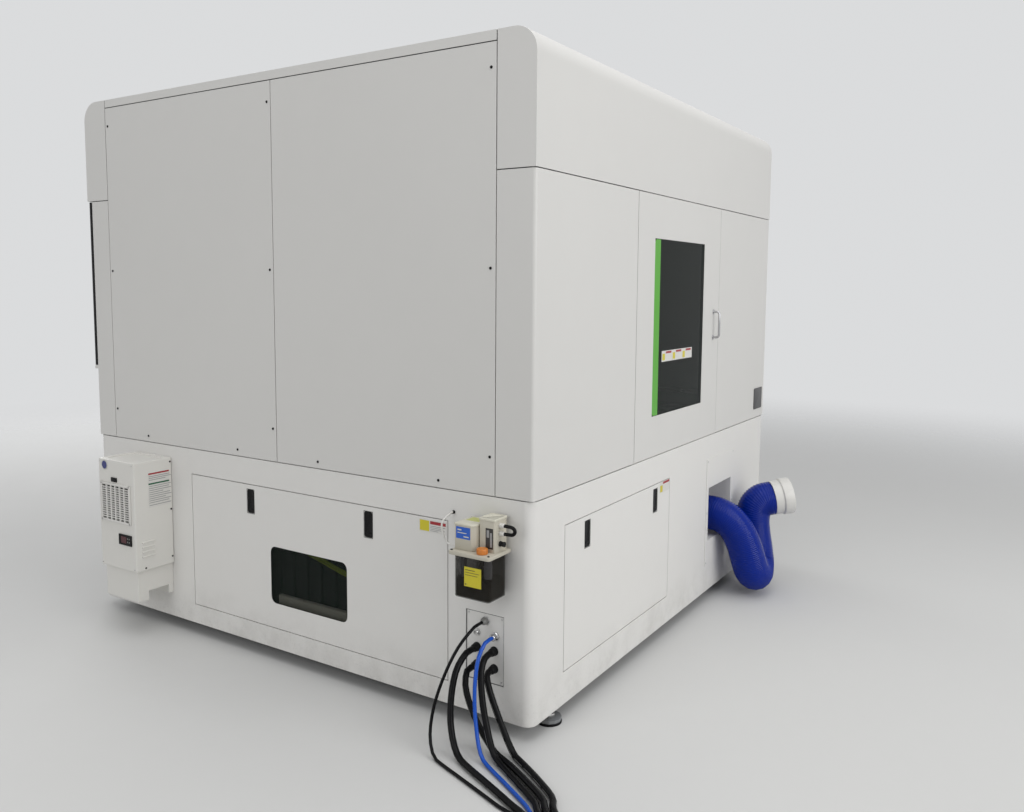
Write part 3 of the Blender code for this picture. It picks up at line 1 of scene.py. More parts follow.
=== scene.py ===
# %% [markdown]
# # A flat-bed laser cutting machine
# The machine is a room-high cabinet of painted sheet metal round a cutting table. Most of what
# the eye meets is calm white paint, so the small things carry the picture: thin dark seams, the
# black paddle latches, a blue ribbed duct, the oiler with its smoky tank, the cooler's grille and
# the bundle of black hoses on the floor. This notebook loads the solid model as a fixed frame
# and dresses it, one piece or one finish at a time.

# %% The frame and its measures
import json
import math

import bmesh
import bpy
from mathutils import Matrix, Vector


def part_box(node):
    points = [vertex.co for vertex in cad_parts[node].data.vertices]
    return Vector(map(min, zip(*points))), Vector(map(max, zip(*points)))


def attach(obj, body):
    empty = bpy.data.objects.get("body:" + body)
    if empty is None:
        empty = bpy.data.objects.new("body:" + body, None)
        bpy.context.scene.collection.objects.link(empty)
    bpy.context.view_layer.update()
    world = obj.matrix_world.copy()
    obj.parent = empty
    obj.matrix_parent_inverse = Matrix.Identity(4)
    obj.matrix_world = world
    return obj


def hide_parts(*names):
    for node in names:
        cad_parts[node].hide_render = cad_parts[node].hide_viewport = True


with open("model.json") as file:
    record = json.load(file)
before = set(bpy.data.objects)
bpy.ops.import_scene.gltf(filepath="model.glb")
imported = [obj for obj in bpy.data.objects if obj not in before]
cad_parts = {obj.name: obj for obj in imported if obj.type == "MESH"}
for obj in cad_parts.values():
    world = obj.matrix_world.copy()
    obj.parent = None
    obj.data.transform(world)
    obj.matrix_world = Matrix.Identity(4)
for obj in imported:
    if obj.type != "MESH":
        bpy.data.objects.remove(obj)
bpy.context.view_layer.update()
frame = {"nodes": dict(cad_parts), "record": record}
nodes = frame["nodes"]
cabinet_low, cabinet_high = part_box("lower_cabinet")
shift = Vector(((cabinet_low.x + cabinet_high.x) / 2, (cabinet_low.y + cabinet_high.y) / 2, 0))
right_face = cabinet_high.x - shift.x
rear_face = cabinet_high.y - shift.y


def at(x, y, z):
    """A place given from the cabinet's middle, in the frame of the whole machine."""
    return shift + Vector((x, y, z))


print("nodes:", len(nodes), "cabinet half width and depth:", round(right_face, 4), round(rear_face, 4))

# %% [markdown]
# ## The camera
# The picture is taken from behind the machine's right corner, a little below the roof's height,
# looking slightly down. The focal length and the direction were solved from the cabinet's own
# straight edges, so the horizontal edges run to the same vanishing points as in the photograph.
# The small vertical shift stands for the picture's crop.

# %% Camera
view_yaw, view_pitch, view_roll = (math.radians(a) for a in (212.607, -5.531, 0.382))
photo_width, focal_pixels, crop_pixels = 1024, 883.79, 32.57
forward = Vector(
    (
        math.cos(view_yaw) * math.cos(view_pitch),
        math.sin(view_yaw) * math.cos(view_pitch),
        math.sin(view_pitch),
    )
)
level = forward.cross(Vector((0, 0, 1))).normalized()
upward = level.cross(forward)
camera_right = level * math.cos(view_roll) + upward * math.sin(view_roll)
camera_up = upward * math.cos(view_roll) - level * math.sin(view_roll)
camera_data = bpy.data.cameras.new("photo_camera")
camera_data.sensor_width = 36
camera_data.lens = focal_pixels / photo_width * camera_data.sensor_width
camera_data.shift_y = -crop_pixels / photo_width
camera_data.clip_start = 0.05
camera = bpy.data.objects.new("photo_camera", camera_data)
bpy.context.scene.collection.objects.link(camera)
place = at(3.27392, 2.37525, 1.36557)
camera.matrix_world = Matrix(
    (
        (camera_right.x, camera_up.x, -forward.x, place.x),
        (camera_right.y, camera_up.y, -forward.y, place.y),
        (camera_right.z, camera_up.z, -forward.z, place.z),
        (0, 0, 0, 1),
    )
)
bpy.context.scene.camera = camera
print("camera at", [round(v, 3) for v in place], "lens", round(camera_data.lens, 2), "mm")

# %% [markdown]
# ## Helpers for edit mode
# A new piece starts as a primitive, an outline or a curve, and most are shaped in edit mode, as
# by hand. An operator acts on all that is selected, so these helpers first deselect everything,
# and then pick faces or edges by their place or direction. A finished piece keeps its place in
# its mesh, with its object at the origin, as the solid model's nodes do.

# %% Selecting and finishing
def leave_edit():
    if bpy.context.object and bpy.context.object.mode != "OBJECT":
        bpy.ops.object.mode_set(mode="OBJECT")


def pick(thing):
    """Makes one object the only selected and active one."""
    leave_edit()
    bpy.ops.object.select_all(action="DESELECT")
    thing.select_set(True)
    bpy.context.view_layer.objects.active = thing


def take_name(name):
    """Names the new active object, and puts its place into its mesh."""
    made = bpy.context.object
    made.name = name
    made.data.name = name
    pick(made)
    bpy.ops.object.transform_apply(location=True, rotation=True, scale=True)
    return made


def choose(thing, kind, test):
    """In edit mode, selects the edges or faces whose middle and direction pass the test."""
    pick(thing)
    bpy.ops.object.mode_set(mode="EDIT")
    bpy.ops.mesh.select_mode(type={"edges": "EDGE", "faces": "FACE"}[kind])
    bpy.ops.mesh.select_all(action="DESELECT")
    form = bmesh.from_edit_mesh(thing.data)
    if kind == "edges":
        passed = [e for e in form.edges if test((e.verts[0].co + e.verts[1].co) / 2, e)]
    else:
        passed = [f for f in form.faces if test(f.calc_center_median(), f.normal)]
    for part in passed:
        part.select = True
    form.select_flush_mode()
    bmesh.update_edit_mesh(thing.data)


def smooth(thing, degrees=35):
    pick(thing)
    bpy.ops.object.shade_smooth_by_angle(angle=math.radians(degrees))
    return thing


def soften(thing, width, segments=2, degrees=40):
    """Rounds all the sharp edges with a Bevel modifier, and applies it."""
    pick(thing)
    bevel = thing.modifiers.new("soft edges", "BEVEL")
    bevel.width, bevel.segments, bevel.angle_limit = width, segments, math.radians(degrees)
    bpy.ops.object.modifier_apply(modifier=bevel.name)
    return smooth(thing)


def round_edges(thing, axis, radius, segments, where=None):
    """Bevels the edges that run along one axis: 0, 1 or 2. Where tests their middles."""
    def runs_along(spot, edge):
        run = edge.verts[1].co - edge.verts[0].co
        return abs(run.normalized()[axis]) > 0.9 and (where is None or where(spot))

    choose(thing, "edges", runs_along)
    bpy.ops.mesh.bevel(offset=radius, segments=segments)
    leave_edit()
    return thing


def sink(thing, way, *steps):
    """Sinks the faces that look one way; each step is an inset and then a depth."""
    way = Vector(way)
    choose(thing, "faces", lambda spot, normal: normal.dot(way) > 0.95)
    for inset, depth in steps:
        bpy.ops.mesh.inset(thickness=inset)
        bpy.ops.transform.translate(value=-way * depth)
    leave_edit()
    return thing


def joined(name, *parts):
    """Joins several pieces into one object."""
    pick(parts[0])
    for part in parts[1:]:
        part.select_set(True)
    bpy.ops.object.join()
    return take_name(name)


def box_piece(name, low, high):
    """A box between two corners, given from the cabinet's middle."""
    low, high = at(*low), at(*high)
    bpy.ops.object.select_all(action="DESELECT")
    bpy.ops.mesh.primitive_cube_add(size=1, location=(low + high) / 2)
    bpy.context.object.scale = high - low
    return take_name(name)


def disc_piece(name, place, way, radius, depth, sides):
    """A round bar that starts at a place, given from the cabinet's middle, and goes a way."""
    way = Vector(way).normalized()
    middle = at(*place) + way * depth / 2
    bpy.ops.object.select_all(action="DESELECT")
    bpy.ops.mesh.primitive_cylinder_add(vertices=sides, radius=radius, depth=depth, location=middle)
    bpy.context.object.rotation_mode = "QUATERNION"
    bpy.context.object.rotation_quaternion = way.to_track_quat("Z", "Y")
    return take_name(name)


def linked(name, data):
    """A new object for a mesh or a curve, in the scene."""
    made = bpy.data.objects.new(name, data)
    bpy.context.scene.collection.objects.link(made)
    return made


def copy_piece(thing, name, move):
    """A copy with its own mesh, moved by some metres."""
    made = linked(name, thing.data.copy())
    made.data.name = name
    made.data.transform(Matrix.Translation(move))
    return made


own_slot = {}


def dress(thing, look, body="machine", slot="own", replaces=()):
    """Gives a piece its finish, the body it moves with and the nodes it stands for.

    The slot, the finish's own one unless the piece names another or None, is worked out but not used.
    """
    thing.data.materials.clear()
    thing.data.materials.append(look)
    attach(thing, body)
    if slot == "own":
        slot = own_slot[look.name]
    if replaces:
        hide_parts(*replaces)
    return thing


def repaint(node, look):
    """A better finish for a node of the solid model."""
    nodes[node].data.materials.clear()
    nodes[node].data.materials.append(look)


print("helpers ready")

# %% [markdown]
# ## Effects that several finishes share
# Paint, metal and plastic all show the same few things close up: the colour drifts a little, a
# fine texture breaks up the shine, and dust and scuffs gather near the floor. Each effect is a
# node group with named sockets, built once. The groups put out only colours, masks, values and
# normals, and the shader stays in each material.

# %% Building node groups
def new_group(name, inputs, outputs):
    """An empty node group with its sockets: name, type and first value."""
    group = bpy.data.node_groups.new(name, "ShaderNodeTree")
    for label, kind, value in inputs:
        made = group.interface.new_socket(name=label, in_out="INPUT", socket_type=kind)
        made.default_value = value
    for label, kind in outputs:
        group.interface.new_socket(name=label, in_out="OUTPUT", socket_type=kind)
    return group, group.nodes.new("NodeGroupInput"), group.nodes.new("NodeGroupOutput")


def feed(tree, socket, value):
    """Gives a socket a plain value, or links it to another node's output."""
    if isinstance(value, (int, float, tuple)):
        socket.default_value = value
    else:
        tree.links.new(value, socket)


def math_node(tree, operation, first, second=0):
    node = tree.nodes.new("ShaderNodeMath")
    node.operation = operation
    feed(tree, node.inputs[0], first)
    feed(tree, node.inputs[1], second)
    return node.outputs[0]


def multiply(tree, first, second):
    return math_node(tree, "MULTIPLY", first, second)


def mix_colour(tree, share, first, second):
    node = tree.nodes.new("ShaderNodeMix")
    node.data_type = "RGBA"
    for index, value in ((0, share), (6, first), (7, second)):
        feed(tree, node.inputs[index], value)
    return node.outputs[2]


def noise(tree, place, scale, detail, roughness=0.5):
    node = tree.nodes.new("ShaderNodeTexNoise")
    for label, value in (("Vector", place), ("Scale", scale), ("Detail", detail), ("Roughness", roughness)):
        feed(tree, node.inputs[label], value)
    return node.outputs[0]


def ramp(tree, value, low, high):
    """Stretches the values between two limits to 0 and 1, with soft ends."""
    node = tree.nodes.new("ShaderNodeMapRange")
    node.interpolation_type = "SMOOTHSTEP"
    for index, given in enumerate((value, low, high)):
        feed(tree, node.inputs[index], given)
    return node.outputs[0]


number, colour, direction = "NodeSocketFloat", "NodeSocketColor", "NodeSocketVector"

# %% [markdown]
# Tone drift: a large, soft noise makes a colour a few percent lighter or darker, so that a big
# sheet of paint isn't one flat value. A second, finer noise keeps it alive close up.

# %% Tone drift
tone_drift, enter, leave = new_group(
    "tone drift",
    [("Colour", colour, (1, 1, 1, 1)), ("Amount", number, 0.06), ("Scale", number, 1.5)],
    [("Colour", colour)],
)
places = tone_drift.nodes.new("ShaderNodeTexCoord").outputs["Object"]
broad = noise(tone_drift, places, enter.outputs["Scale"], 2)
fine = noise(tone_drift, places, multiply(tone_drift, enter.outputs["Scale"], 11), 4)
most = multiply(tone_drift, broad, 0.7)
both = math_node(tone_drift, "ADD", most, multiply(tone_drift, fine, 0.3))
around = math_node(tone_drift, "SUBTRACT", both, 0.5)
swing = multiply(tone_drift, around, enter.outputs["Amount"])
factor = math_node(tone_drift, "ADD", multiply(tone_drift, swing, 2), 1)
lit = tone_drift.nodes.new("ShaderNodeVectorMath")
lit.operation = "SCALE"
tone_drift.links.new(enter.outputs["Colour"], lit.inputs[0])
tone_drift.links.new(factor, lit.inputs["Scale"])
tone_drift.links.new(lit.outputs[0], leave.inputs["Colour"])
print("group:", tone_drift.name)

# %% [markdown]
# Floor dust: a workshop's dust and splashes reach the lowest part of a cabinet. The mask is
# strongest at the floor, fades out upwards, and a noise breaks it into patches and specks.

# %% Floor dust
floor_dust, enter, leave = new_group(
    "floor dust",
    [("Top", number, 0.25), ("Amount", number, 0.5)],
    [("Mask", number)],
)
places = floor_dust.nodes.new("ShaderNodeTexCoord").outputs["Object"]
split = floor_dust.nodes.new("ShaderNodeSeparateXYZ")
floor_dust.links.new(places, split.inputs[0])
rising = math_node(floor_dust, "DIVIDE", split.outputs["Z"], enter.outputs["Top"])
falling = math_node(floor_dust, "MAXIMUM", math_node(floor_dust, "SUBTRACT", 1, rising), 0)
patches = ramp(floor_dust, noise(floor_dust, places, 9, 5, 0.65), 0.35, 0.75)
specks = ramp(floor_dust, noise(floor_dust, places, 160, 2), 0.6, 0.72)
spots = multiply(floor_dust, specks, 0.4)
mixed = math_node(floor_dust, "ADD", multiply(floor_dust, patches, 0.75), spots)
settled = multiply(floor_dust, falling, mixed)
mask = multiply(floor_dust, settled, enter.outputs["Amount"])
floor_dust.links.new(mask, leave.inputs["Mask"])
print("group:", floor_dust.name)

# %% [markdown]
# Fine skin: powder coat has a soft orange peel, moulded plastic a fine grain. Both are a noise
# turned into a bump, and only its scale and strength differ.

# %% Fine skin
fine_skin, enter, leave = new_group(
    "fine skin",
    [("Scale", number, 400.0), ("Strength", number, 0.1), ("Distance", number, 0.0005)],
    [("Normal", direction)],
)
places = fine_skin.nodes.new("ShaderNodeTexCoord").outputs["Object"]
bump = fine_skin.nodes.new("ShaderNodeBump")
fine_skin.links.new(noise(fine_skin, places, enter.outputs["Scale"], 2), bump.inputs["Height"])
fine_skin.links.new(enter.outputs["Strength"], bump.inputs["Strength"])
fine_skin.links.new(enter.outputs["Distance"], bump.inputs["Distance"])
fine_skin.links.new(bump.outputs[0], leave.inputs["Normal"])
print("group:", fine_skin.name)

# %% [markdown]
# Rubbed patches: a mask of faint, cloudy patches where hands, rags and straps have polished or
# dulled a surface. It changes the roughness, so the shine is uneven as on real paint.

# %% Rubbed patches
rubbed, enter, leave = new_group(
    "rubbed patches",
    [("Scale", number, 4.0), ("Low", number, 0.3), ("High", number, 0.5)],
    [("Roughness", number)],
)
places = rubbed.nodes.new("ShaderNodeTexCoord").outputs["Object"]
cloud = ramp(rubbed, noise(rubbed, places, enter.outputs["Scale"], 5, 0.6), 0.3, 0.7)
span = math_node(rubbed, "SUBTRACT", enter.outputs["High"], enter.outputs["Low"])
spread = math_node(rubbed, "ADD", enter.outputs["Low"], multiply(rubbed, cloud, span))
rubbed.links.new(spread, leave.inputs["Roughness"])
print("group:", rubbed.name)


# %% [markdown]
# ## A finish from the shared effects
# This helper starts a material from one Principled shader, and plugs the groups in with the
# values that the finish needs: its colour and drift, its skin, its shine, and its dust.

# %% The base of every finish
dust_brown = (0.16, 0.145, 0.12, 1)


def place_group(tree, group, **values):
    node = tree.nodes.new("ShaderNodeGroup")
    node.node_tree = group
    for label, value in values.items():
        node.inputs[label].default_value = value
    return node.outputs[0]


def new_finish(
    name, base, drift, skin, shine, patches=4, metallic=0.0, dust=0.0, dust_top=0.25, gloss=0.5,
    coat=0.0, coat_roughness=None, slot=None,
):
    """Drift is an amount and a scale; skin a scale, a strength and a depth; shine two roughnesses."""
    made = bpy.data.materials.new(name)
    made.use_nodes = True
    tree = made.node_tree
    shader = tree.nodes["Principled BSDF"]
    toned = place_group(tree, tone_drift, Colour=(*base, 1), Amount=drift[0], Scale=drift[1])
    rough = place_group(tree, rubbed, Scale=patches, Low=shine[0], High=shine[1])
    if dust:
        dirt = place_group(tree, floor_dust, Top=dust_top, Amount=dust)
        toned = mix_colour(tree, dirt, toned, dust_brown)
        rough = math_node(tree, "ADD", rough, multiply(tree, dirt, 0.35))
    normal = place_group(tree, fine_skin, Scale=skin[0], Strength=skin[1], Distance=skin[2])
    tree.links.new(toned, shader.inputs["Base Color"])
    tree.links.new(rough, shader.inputs["Roughness"])
    tree.links.new(normal, shader.inputs["Normal"])
    shader.inputs["Metallic"].default_value = metallic
    shader.inputs["Specular IOR Level"].default_value = gloss
    shader.inputs["Coat Weight"].default_value = coat
    if coat_roughness is not None:
        shader.inputs["Coat Roughness"].default_value = coat_roughness
    own_slot[made.name] = slot
    return made


print("finishes can be made")

# %% [markdown]
# ## Paint
# The sheets are powder coated in an off-white: satin, with a fine orange peel. The lower skin is
# a shade lighter and the cooler a shade warmer, and the lower skin has workshop dust along its
# foot. The frame inside is a plain grey that is only seen through the panes and under the skirt.

# %% Paints
white_paint = new_finish(
    "white_powder_coat", (0.645, 0.637, 0.615), drift=(0.035, 0.9),
    skin=(900, 0.12, 0.0004), shine=(0.42, 0.54), patches=1.3,
)
lower_paint = new_finish(
    "pale_powder_coat", (0.72, 0.71, 0.685), drift=(0.04, 1.2),
    skin=(900, 0.12, 0.0004), shine=(0.42, 0.54), dust=0.4, dust_top=0.22, patches=1.6,
)
cream_paint = new_finish(
    "cooler_paint", (0.7, 0.688, 0.65), drift=(0.03, 3), skin=(1300, 0.3, 0.0004), shine=(0.38, 0.5),
)
grey_paint = new_finish(
    "grey_frame_paint", (0.2, 0.21, 0.22), drift=(0.08, 2), skin=(300, 0.2, 0.0006),
    shine=(0.4, 0.6), dust=0.6, dust_top=0.15,
)
print("paints:", white_paint.name, lower_paint.name, cream_paint.name, grey_paint.name)

# %% [markdown]
# ## Metals
# The slats are cut from plain sheet and carry the marks of many cuts, so their colour drifts and
# their skin is rough. Rails, head and nozzle are ground or plated, and stay bright. The
# difference is in the colour drift and in how wide the roughness swings.

# %% Metals
bright_steel = new_finish(
    "ground_steel", (0.55, 0.55, 0.54), drift=(0.1, 6), skin=(700, 0.15, 0.0004),
    shine=(0.22, 0.42), metallic=1.0, patches=9, slot="steel",
)
chrome = new_finish(
    "bright_chrome", (0.5, 0.5, 0.51), drift=(0.03, 8), skin=(500, 0.02, 0.0003),
    shine=(0.06, 0.16), metallic=1.0, patches=20, slot="bright_chrome",
)
aluminium = new_finish(
    "anodised_aluminium", (0.6, 0.61, 0.62), drift=(0.05, 3), skin=(1500, 0.15, 0.0003),
    shine=(0.3, 0.42), metallic=1.0, slot="anodised_aluminium",
)
brass = new_finish(
    "turned_brass", (0.72, 0.52, 0.22), drift=(0.12, 14), skin=(900, 0.1, 0.0003),
    shine=(0.18, 0.36), metallic=1.0, patches=30, slot="brass",
)
slat_steel = new_finish(
    "cut_slat_steel", (0.36, 0.35, 0.34), drift=(0.35, 9), skin=(260, 0.5, 0.0012),
    shine=(0.35, 0.7), metallic=0.85, patches=12,
)
print("metals:", bright_steel.name, chrome.name, aluminium.name, brass.name, slat_steel.name)

# %% [markdown]
# ## Plastics, rubber and glass
# Black latches and cable glands are finely grained; the duct is thin glossy film with a clear
# coat; hoses are satin rubber. The panes are a very dark green acrylic: light passes, but only
# just, so the inside stays a hint.

# %% Plastics and rubber
black_plastic = new_finish(
    "black_plastic", (0.008, 0.008, 0.0085), drift=(0.15, 20), skin=(1500, 0.3, 0.0003),
    shine=(0.3, 0.45), patches=25, gloss=0.12, slot="black_plastic",
)
black_rubber = new_finish(
    "black_hose_rubber", (0.006, 0.006, 0.0065), drift=(0.25, 12), skin=(1200, 0.15, 0.0003),
    shine=(0.2, 0.34), patches=15, gloss=0.1, slot="black_hose",
)
white_plastic = new_finish(
    "white_plastic", (0.66, 0.65, 0.62), drift=(0.04, 12), skin=(900, 0.1, 0.0003), shine=(0.3, 0.45),
    slot="white_plastic",
)
beige_plastic = new_finish(
    "beige_plastic", (0.5, 0.47, 0.39), drift=(0.06, 14), skin=(1400, 0.3, 0.0003), shine=(0.35, 0.5),
    patches=18, slot="beige_plastic",
)
cream_plastic = new_finish(
    "cream_plastic", (0.62, 0.6, 0.5), drift=(0.05, 14), skin=(1400, 0.15, 0.0003), shine=(0.22, 0.36),
)
red_plastic = new_finish(
    "red_plastic", (0.55, 0.015, 0.012), drift=(0.08, 20), skin=(1000, 0.05, 0.0003), shine=(0.15, 0.28),
)
orange_plastic = new_finish(
    "orange_plastic", (0.6, 0.2, 0.03), drift=(0.12, 25), skin=(1200, 0.15, 0.0003), shine=(0.3, 0.45),
    slot="orange_plastic",
)
air_blue = new_finish(
    "blue_air_tube", (0.004, 0.075, 0.45), drift=(0.08, 10), skin=(700, 0.05, 0.0003), shine=(0.16, 0.28),
    gloss=0.25, coat=0.15, slot="blue_air_tube",
)
duct_blue = new_finish(
    "blue_duct_film", (0.0006, 0.017, 0.235), drift=(0.16, 12), skin=(160, 0.12, 0.0012),
    shine=(0.09, 0.18), patches=9, gloss=0.12, coat=0.12, coat_roughness=0.08, slot="blue_duct",
)
print("plastics ready")


# %% [markdown]
# A tinted pane is a plain glossy shader that lets a little light through by its alpha. That costs
# little to render, has no hidden refraction, and keeps the dark green of the real panes from
# every side. Then the nodes of the solid model that stay in view get their finishes; all the
# others are replaced by the pieces that follow.

# %% Tinted panes, and finishes for the nodes that stay
def pane_finish(name, tint, cover, rough, slot=None):
    made = new_finish(
        name, tint, drift=(0.1, 2), skin=(40, 0.01, 0.0003), shine=rough, patches=3, gloss=0.15, slot=slot,
    )
    made.node_tree.nodes["Principled BSDF"].inputs["Alpha"].default_value = cover
    made.surface_render_method = "BLENDED"
    return made


dark_pane = pane_finish("dark_green_pane", (0.004, 0.009, 0.006), 0.42, (0.03, 0.07))
smoky_pane = pane_finish("smoky_tank_plastic", (0.02, 0.018, 0.014), 0.46, (0.04, 0.1), "smoky_plastic")
source_dark = new_finish(
    "dark_source_case", (0.02, 0.021, 0.022), drift=(0.1, 5), skin=(400, 0.15, 0.0004), shine=(0.4, 0.55),
    gloss=0.3,
)
for look, shown in (
    (dark_pane, ("side_window", "rear_window", "front_fixed_window", "front_door_window")),
    (black_plastic, ("front_door",)), (red_plastic, ("emergency_stop",)),
    (grey_paint, ("bed_frame", "upper_frame")), (source_dark, ("laser_source",)),
    (bright_steel, ("left_rail", "right_rail")), (aluminium, ("gantry_beam", "carriage")),
    (chrome, ("cutting_head",)), (slat_steel, ("cutting_table",)),
):
    for node in shown:
        repaint(node, look)
print("panes:", dark_pane.name, smoky_pane.name)

# %% [markdown]
# ## The free lines
# Six lines leave the fittings on the connector plate: a thin power cable, a blue air tube and
# four black hoses. They come straight out, fall to the floor under their own weight, gather side
# by side, and run off. What the picture doesn't show of them is wound in one neat coil just
# outside the view. A line is one curve with a round bevel, through the same points as its solid.

# %% The route of each line
ports = {
    "power_cable": (0.9, 0.352, 0.005),
    "air_tube": (0.936, 0.31, 0.006),
    "hose_1": (0.868, 0.262, 0.01),
    "hose_2": (0.932, 0.262, 0.01),
    "hose_3": (0.868, 0.206, 0.01),
    "hose_4": (0.932, 0.206, 0.01),
}
line_routes = {
    "power_cable": (
        (1.172, 0.898, 0.347), (1.225, 0.88, 0.3), (1.262, 0.856, 0.22), (1.288, 0.838, 0.13),
        (1.31, 0.842, 0.05), (1.336, 0.885, 0.005), (1.378, 1.01, 0.005), (1.425, 1.15, 0.005),
    ),
    "hose_1": (
        (1.17, 0.867, 0.258), (1.215, 0.866, 0.222), (1.248, 0.872, 0.15), (1.272, 0.89, 0.075),
        (1.298, 0.932, 0.018), (1.33, 1.0, 0.01), (1.368, 1.09, 0.01), (1.41, 1.185, 0.01),
    ),
    "air_tube": (
        (1.165, 0.935, 0.305), (1.2, 0.935, 0.265), (1.226, 0.942, 0.185), (1.245, 0.96, 0.095),
        (1.268, 0.995, 0.02), (1.3, 1.06, 0.006), (1.345, 1.145, 0.006), (1.394, 1.23, 0.006),
    ),
    "hose_2": (
        (1.16, 0.933, 0.259), (1.19, 0.94, 0.228), (1.21, 0.958, 0.16), (1.225, 0.985, 0.085),
        (1.246, 1.025, 0.022), (1.278, 1.085, 0.01), (1.322, 1.16, 0.01), (1.372, 1.24, 0.01),
    ),
    "hose_3": (
        (1.165, 0.87, 0.202), (1.192, 0.885, 0.168), (1.205, 0.918, 0.11), (1.212, 0.965, 0.05),
        (1.225, 1.02, 0.012), (1.252, 1.085, 0.01), (1.295, 1.165, 0.01), (1.348, 1.25, 0.01),
    ),
    "hose_4": (
        (1.156, 0.937, 0.203), (1.172, 0.958, 0.17), (1.178, 0.992, 0.105), (1.186, 1.03, 0.045),
        (1.202, 1.068, 0.012), (1.23, 1.12, 0.01), (1.272, 1.19, 0.01), (1.325, 1.265, 0.01),
    ),
}
fitting_end = 1.129
first_step = 0.012
coil_middle = Vector((1.75, 1.467))
coil_inner_radius = 0.1
line_gap = 0.001
line_order = ("power_cable", "hose_1", "air_tube", "hose_2", "hose_3", "hose_4")
ribbon_way, ribbon_side, ribbon_length = Vector((0.6, 0.8)), Vector((0.8, -0.6)), 0.33
coil_radii, reach = {}, coil_inner_radius
for name in line_order:
    coil_radii[name] = reach + ports[name][2]
    reach += 2 * ports[name][2] + line_gap
print("coil from", coil_inner_radius, "to", round(reach - line_gap, 3), "m")


# %% [markdown]
# A smooth curve through given points: each stretch between two points is a cubic that
# leans on its two neighbours, so the line passes through every point without a kink. The points
# are then spread evenly along it.

# %% A smooth route
def smooth_route(points, count):
    points, steps = [Vector(p) for p in points], 24
    ends = [2 * points[0] - points[1], *points, 2 * points[-1] - points[-2]]
    fine = []
    for a, b, c, d in zip(ends, ends[1:], ends[2:], ends[3:]):
        for i in range(steps):
            t = i / steps
            bent = (2 * a - 5 * b + 4 * c - d) * t**2 + (3 * b - a - 3 * c + d) * t**3
            fine.append((2 * b + (c - a) * t + bent) / 2)
    fine.append(points[-1])
    run = [0.0]
    for a, b in zip(fine, fine[1:]):
        run.append(run[-1] + (b - a).length)
    spread, j = [], 0
    for i in range(count):
        along = run[-1] * i / (count - 1)
        while j < len(run) - 2 and run[j + 1] < along:
            j += 1
        share = (along - run[j]) / (run[j + 1] - run[j])
        spread.append(fine[j].lerp(fine[j + 1], min(max(share, 0), 1)))
    return spread


def path_length(points):
    return sum((b - a).length for a, b in zip(points, points[1:]))


def bevelled_curve(name, radius, loops, caps=True):
    curve = bpy.data.curves.new(name, "CURVE")
    curve.dimensions = "3D"
    curve.bevel_depth, curve.bevel_resolution, curve.use_fill_caps = radius, loops, caps
    return curve


def add_points(curve, points):
    """A straight-sided spline through points in the frame of the whole machine."""
    spline = curve.splines.new("POLY")
    spline.points.add(len(points) - 1)
    for point, spot in zip(spline.points, points):
        point.co = (*spot, 1)
    spline.use_smooth = True
    return spline


def as_mesh(curve, degrees=None):
    pick(linked(curve.name, curve))
    bpy.ops.object.convert(target="MESH")
    return smooth(bpy.context.object, degrees) if degrees else bpy.context.object


print("routes can be smoothed")


# %% [markdown]
# The coil: each line keeps its own distance from the coil's middle and winds on top of itself.
# It climbs evenly, so that it clears the lines that come in under it, and ends in its coupling,
# which lies on top of the coil at its own angle.

# %% The wound part
couplings = {}
coupling_length, coupling_wall, coil_height = 0.05, 0.004, 0.06
first_angle, angle_step, extra_turns, wound_steps = 200, 50, 2, 56
enter_angle = math.degrees(math.atan2(-ribbon_side.y, -ribbon_side.x))


def on_coil(radius, degrees, height):
    here = math.radians(degrees)
    return Vector((coil_middle.x + radius * math.cos(here), coil_middle.y + radius * math.sin(here), height))


def wound(name, index):
    """Points from where a line touches its circle to the start of its coupling."""
    radius, thick = coil_radii[name], ports[name][2]
    angle = first_angle + angle_step * index
    top = coil_height + thick + coupling_wall + 0.0003
    sweep = (enter_angle - angle) % 360 + 360 * extra_turns
    points = []
    lead = math.degrees(0.06 / radius)
    for i in range(1, wound_steps + 1):
        turned = (sweep - lead) * i / wound_steps
        height = thick + (top - thick) * min(1, turned / (sweep - lead * 1.6))
        points.append(on_coil(radius, enter_angle - turned, height))
    middle = on_coil(radius, angle, top)
    way = Vector((math.sin(math.radians(angle)), -math.cos(math.radians(angle)), 0))
    couplings[name] = (middle, way, thick)
    points.append(middle - way * coupling_length / 2)
    return points


def line_path(name, index):
    y, z, thick = ports[name]
    radius = coil_radii[name]
    touch = coil_middle - ribbon_side * radius
    back = touch - ribbon_way * ribbon_length
    ribbon = [(back.x, back.y, thick), (touch.x, touch.y, thick)]
    shown = smooth_route([(fitting_end + first_step, y, z), *line_routes[name], *ribbon], 46)
    points = [Vector((fitting_end, y, z)), *shown, *wound(name, index)]
    for point in points:
        point.z = max(point.z, thick)
    return [point + shift for point in points]


print("a hose enters the coil at", round(enter_angle, 1), "degrees")


# %% [markdown]
# Rubber hoses of this kind carry a pale printed stripe. Here it is a plain dashed line that runs
# along the hose, without any words. It follows the curve by its UV map, whose U runs along the
# line and whose V runs round it.

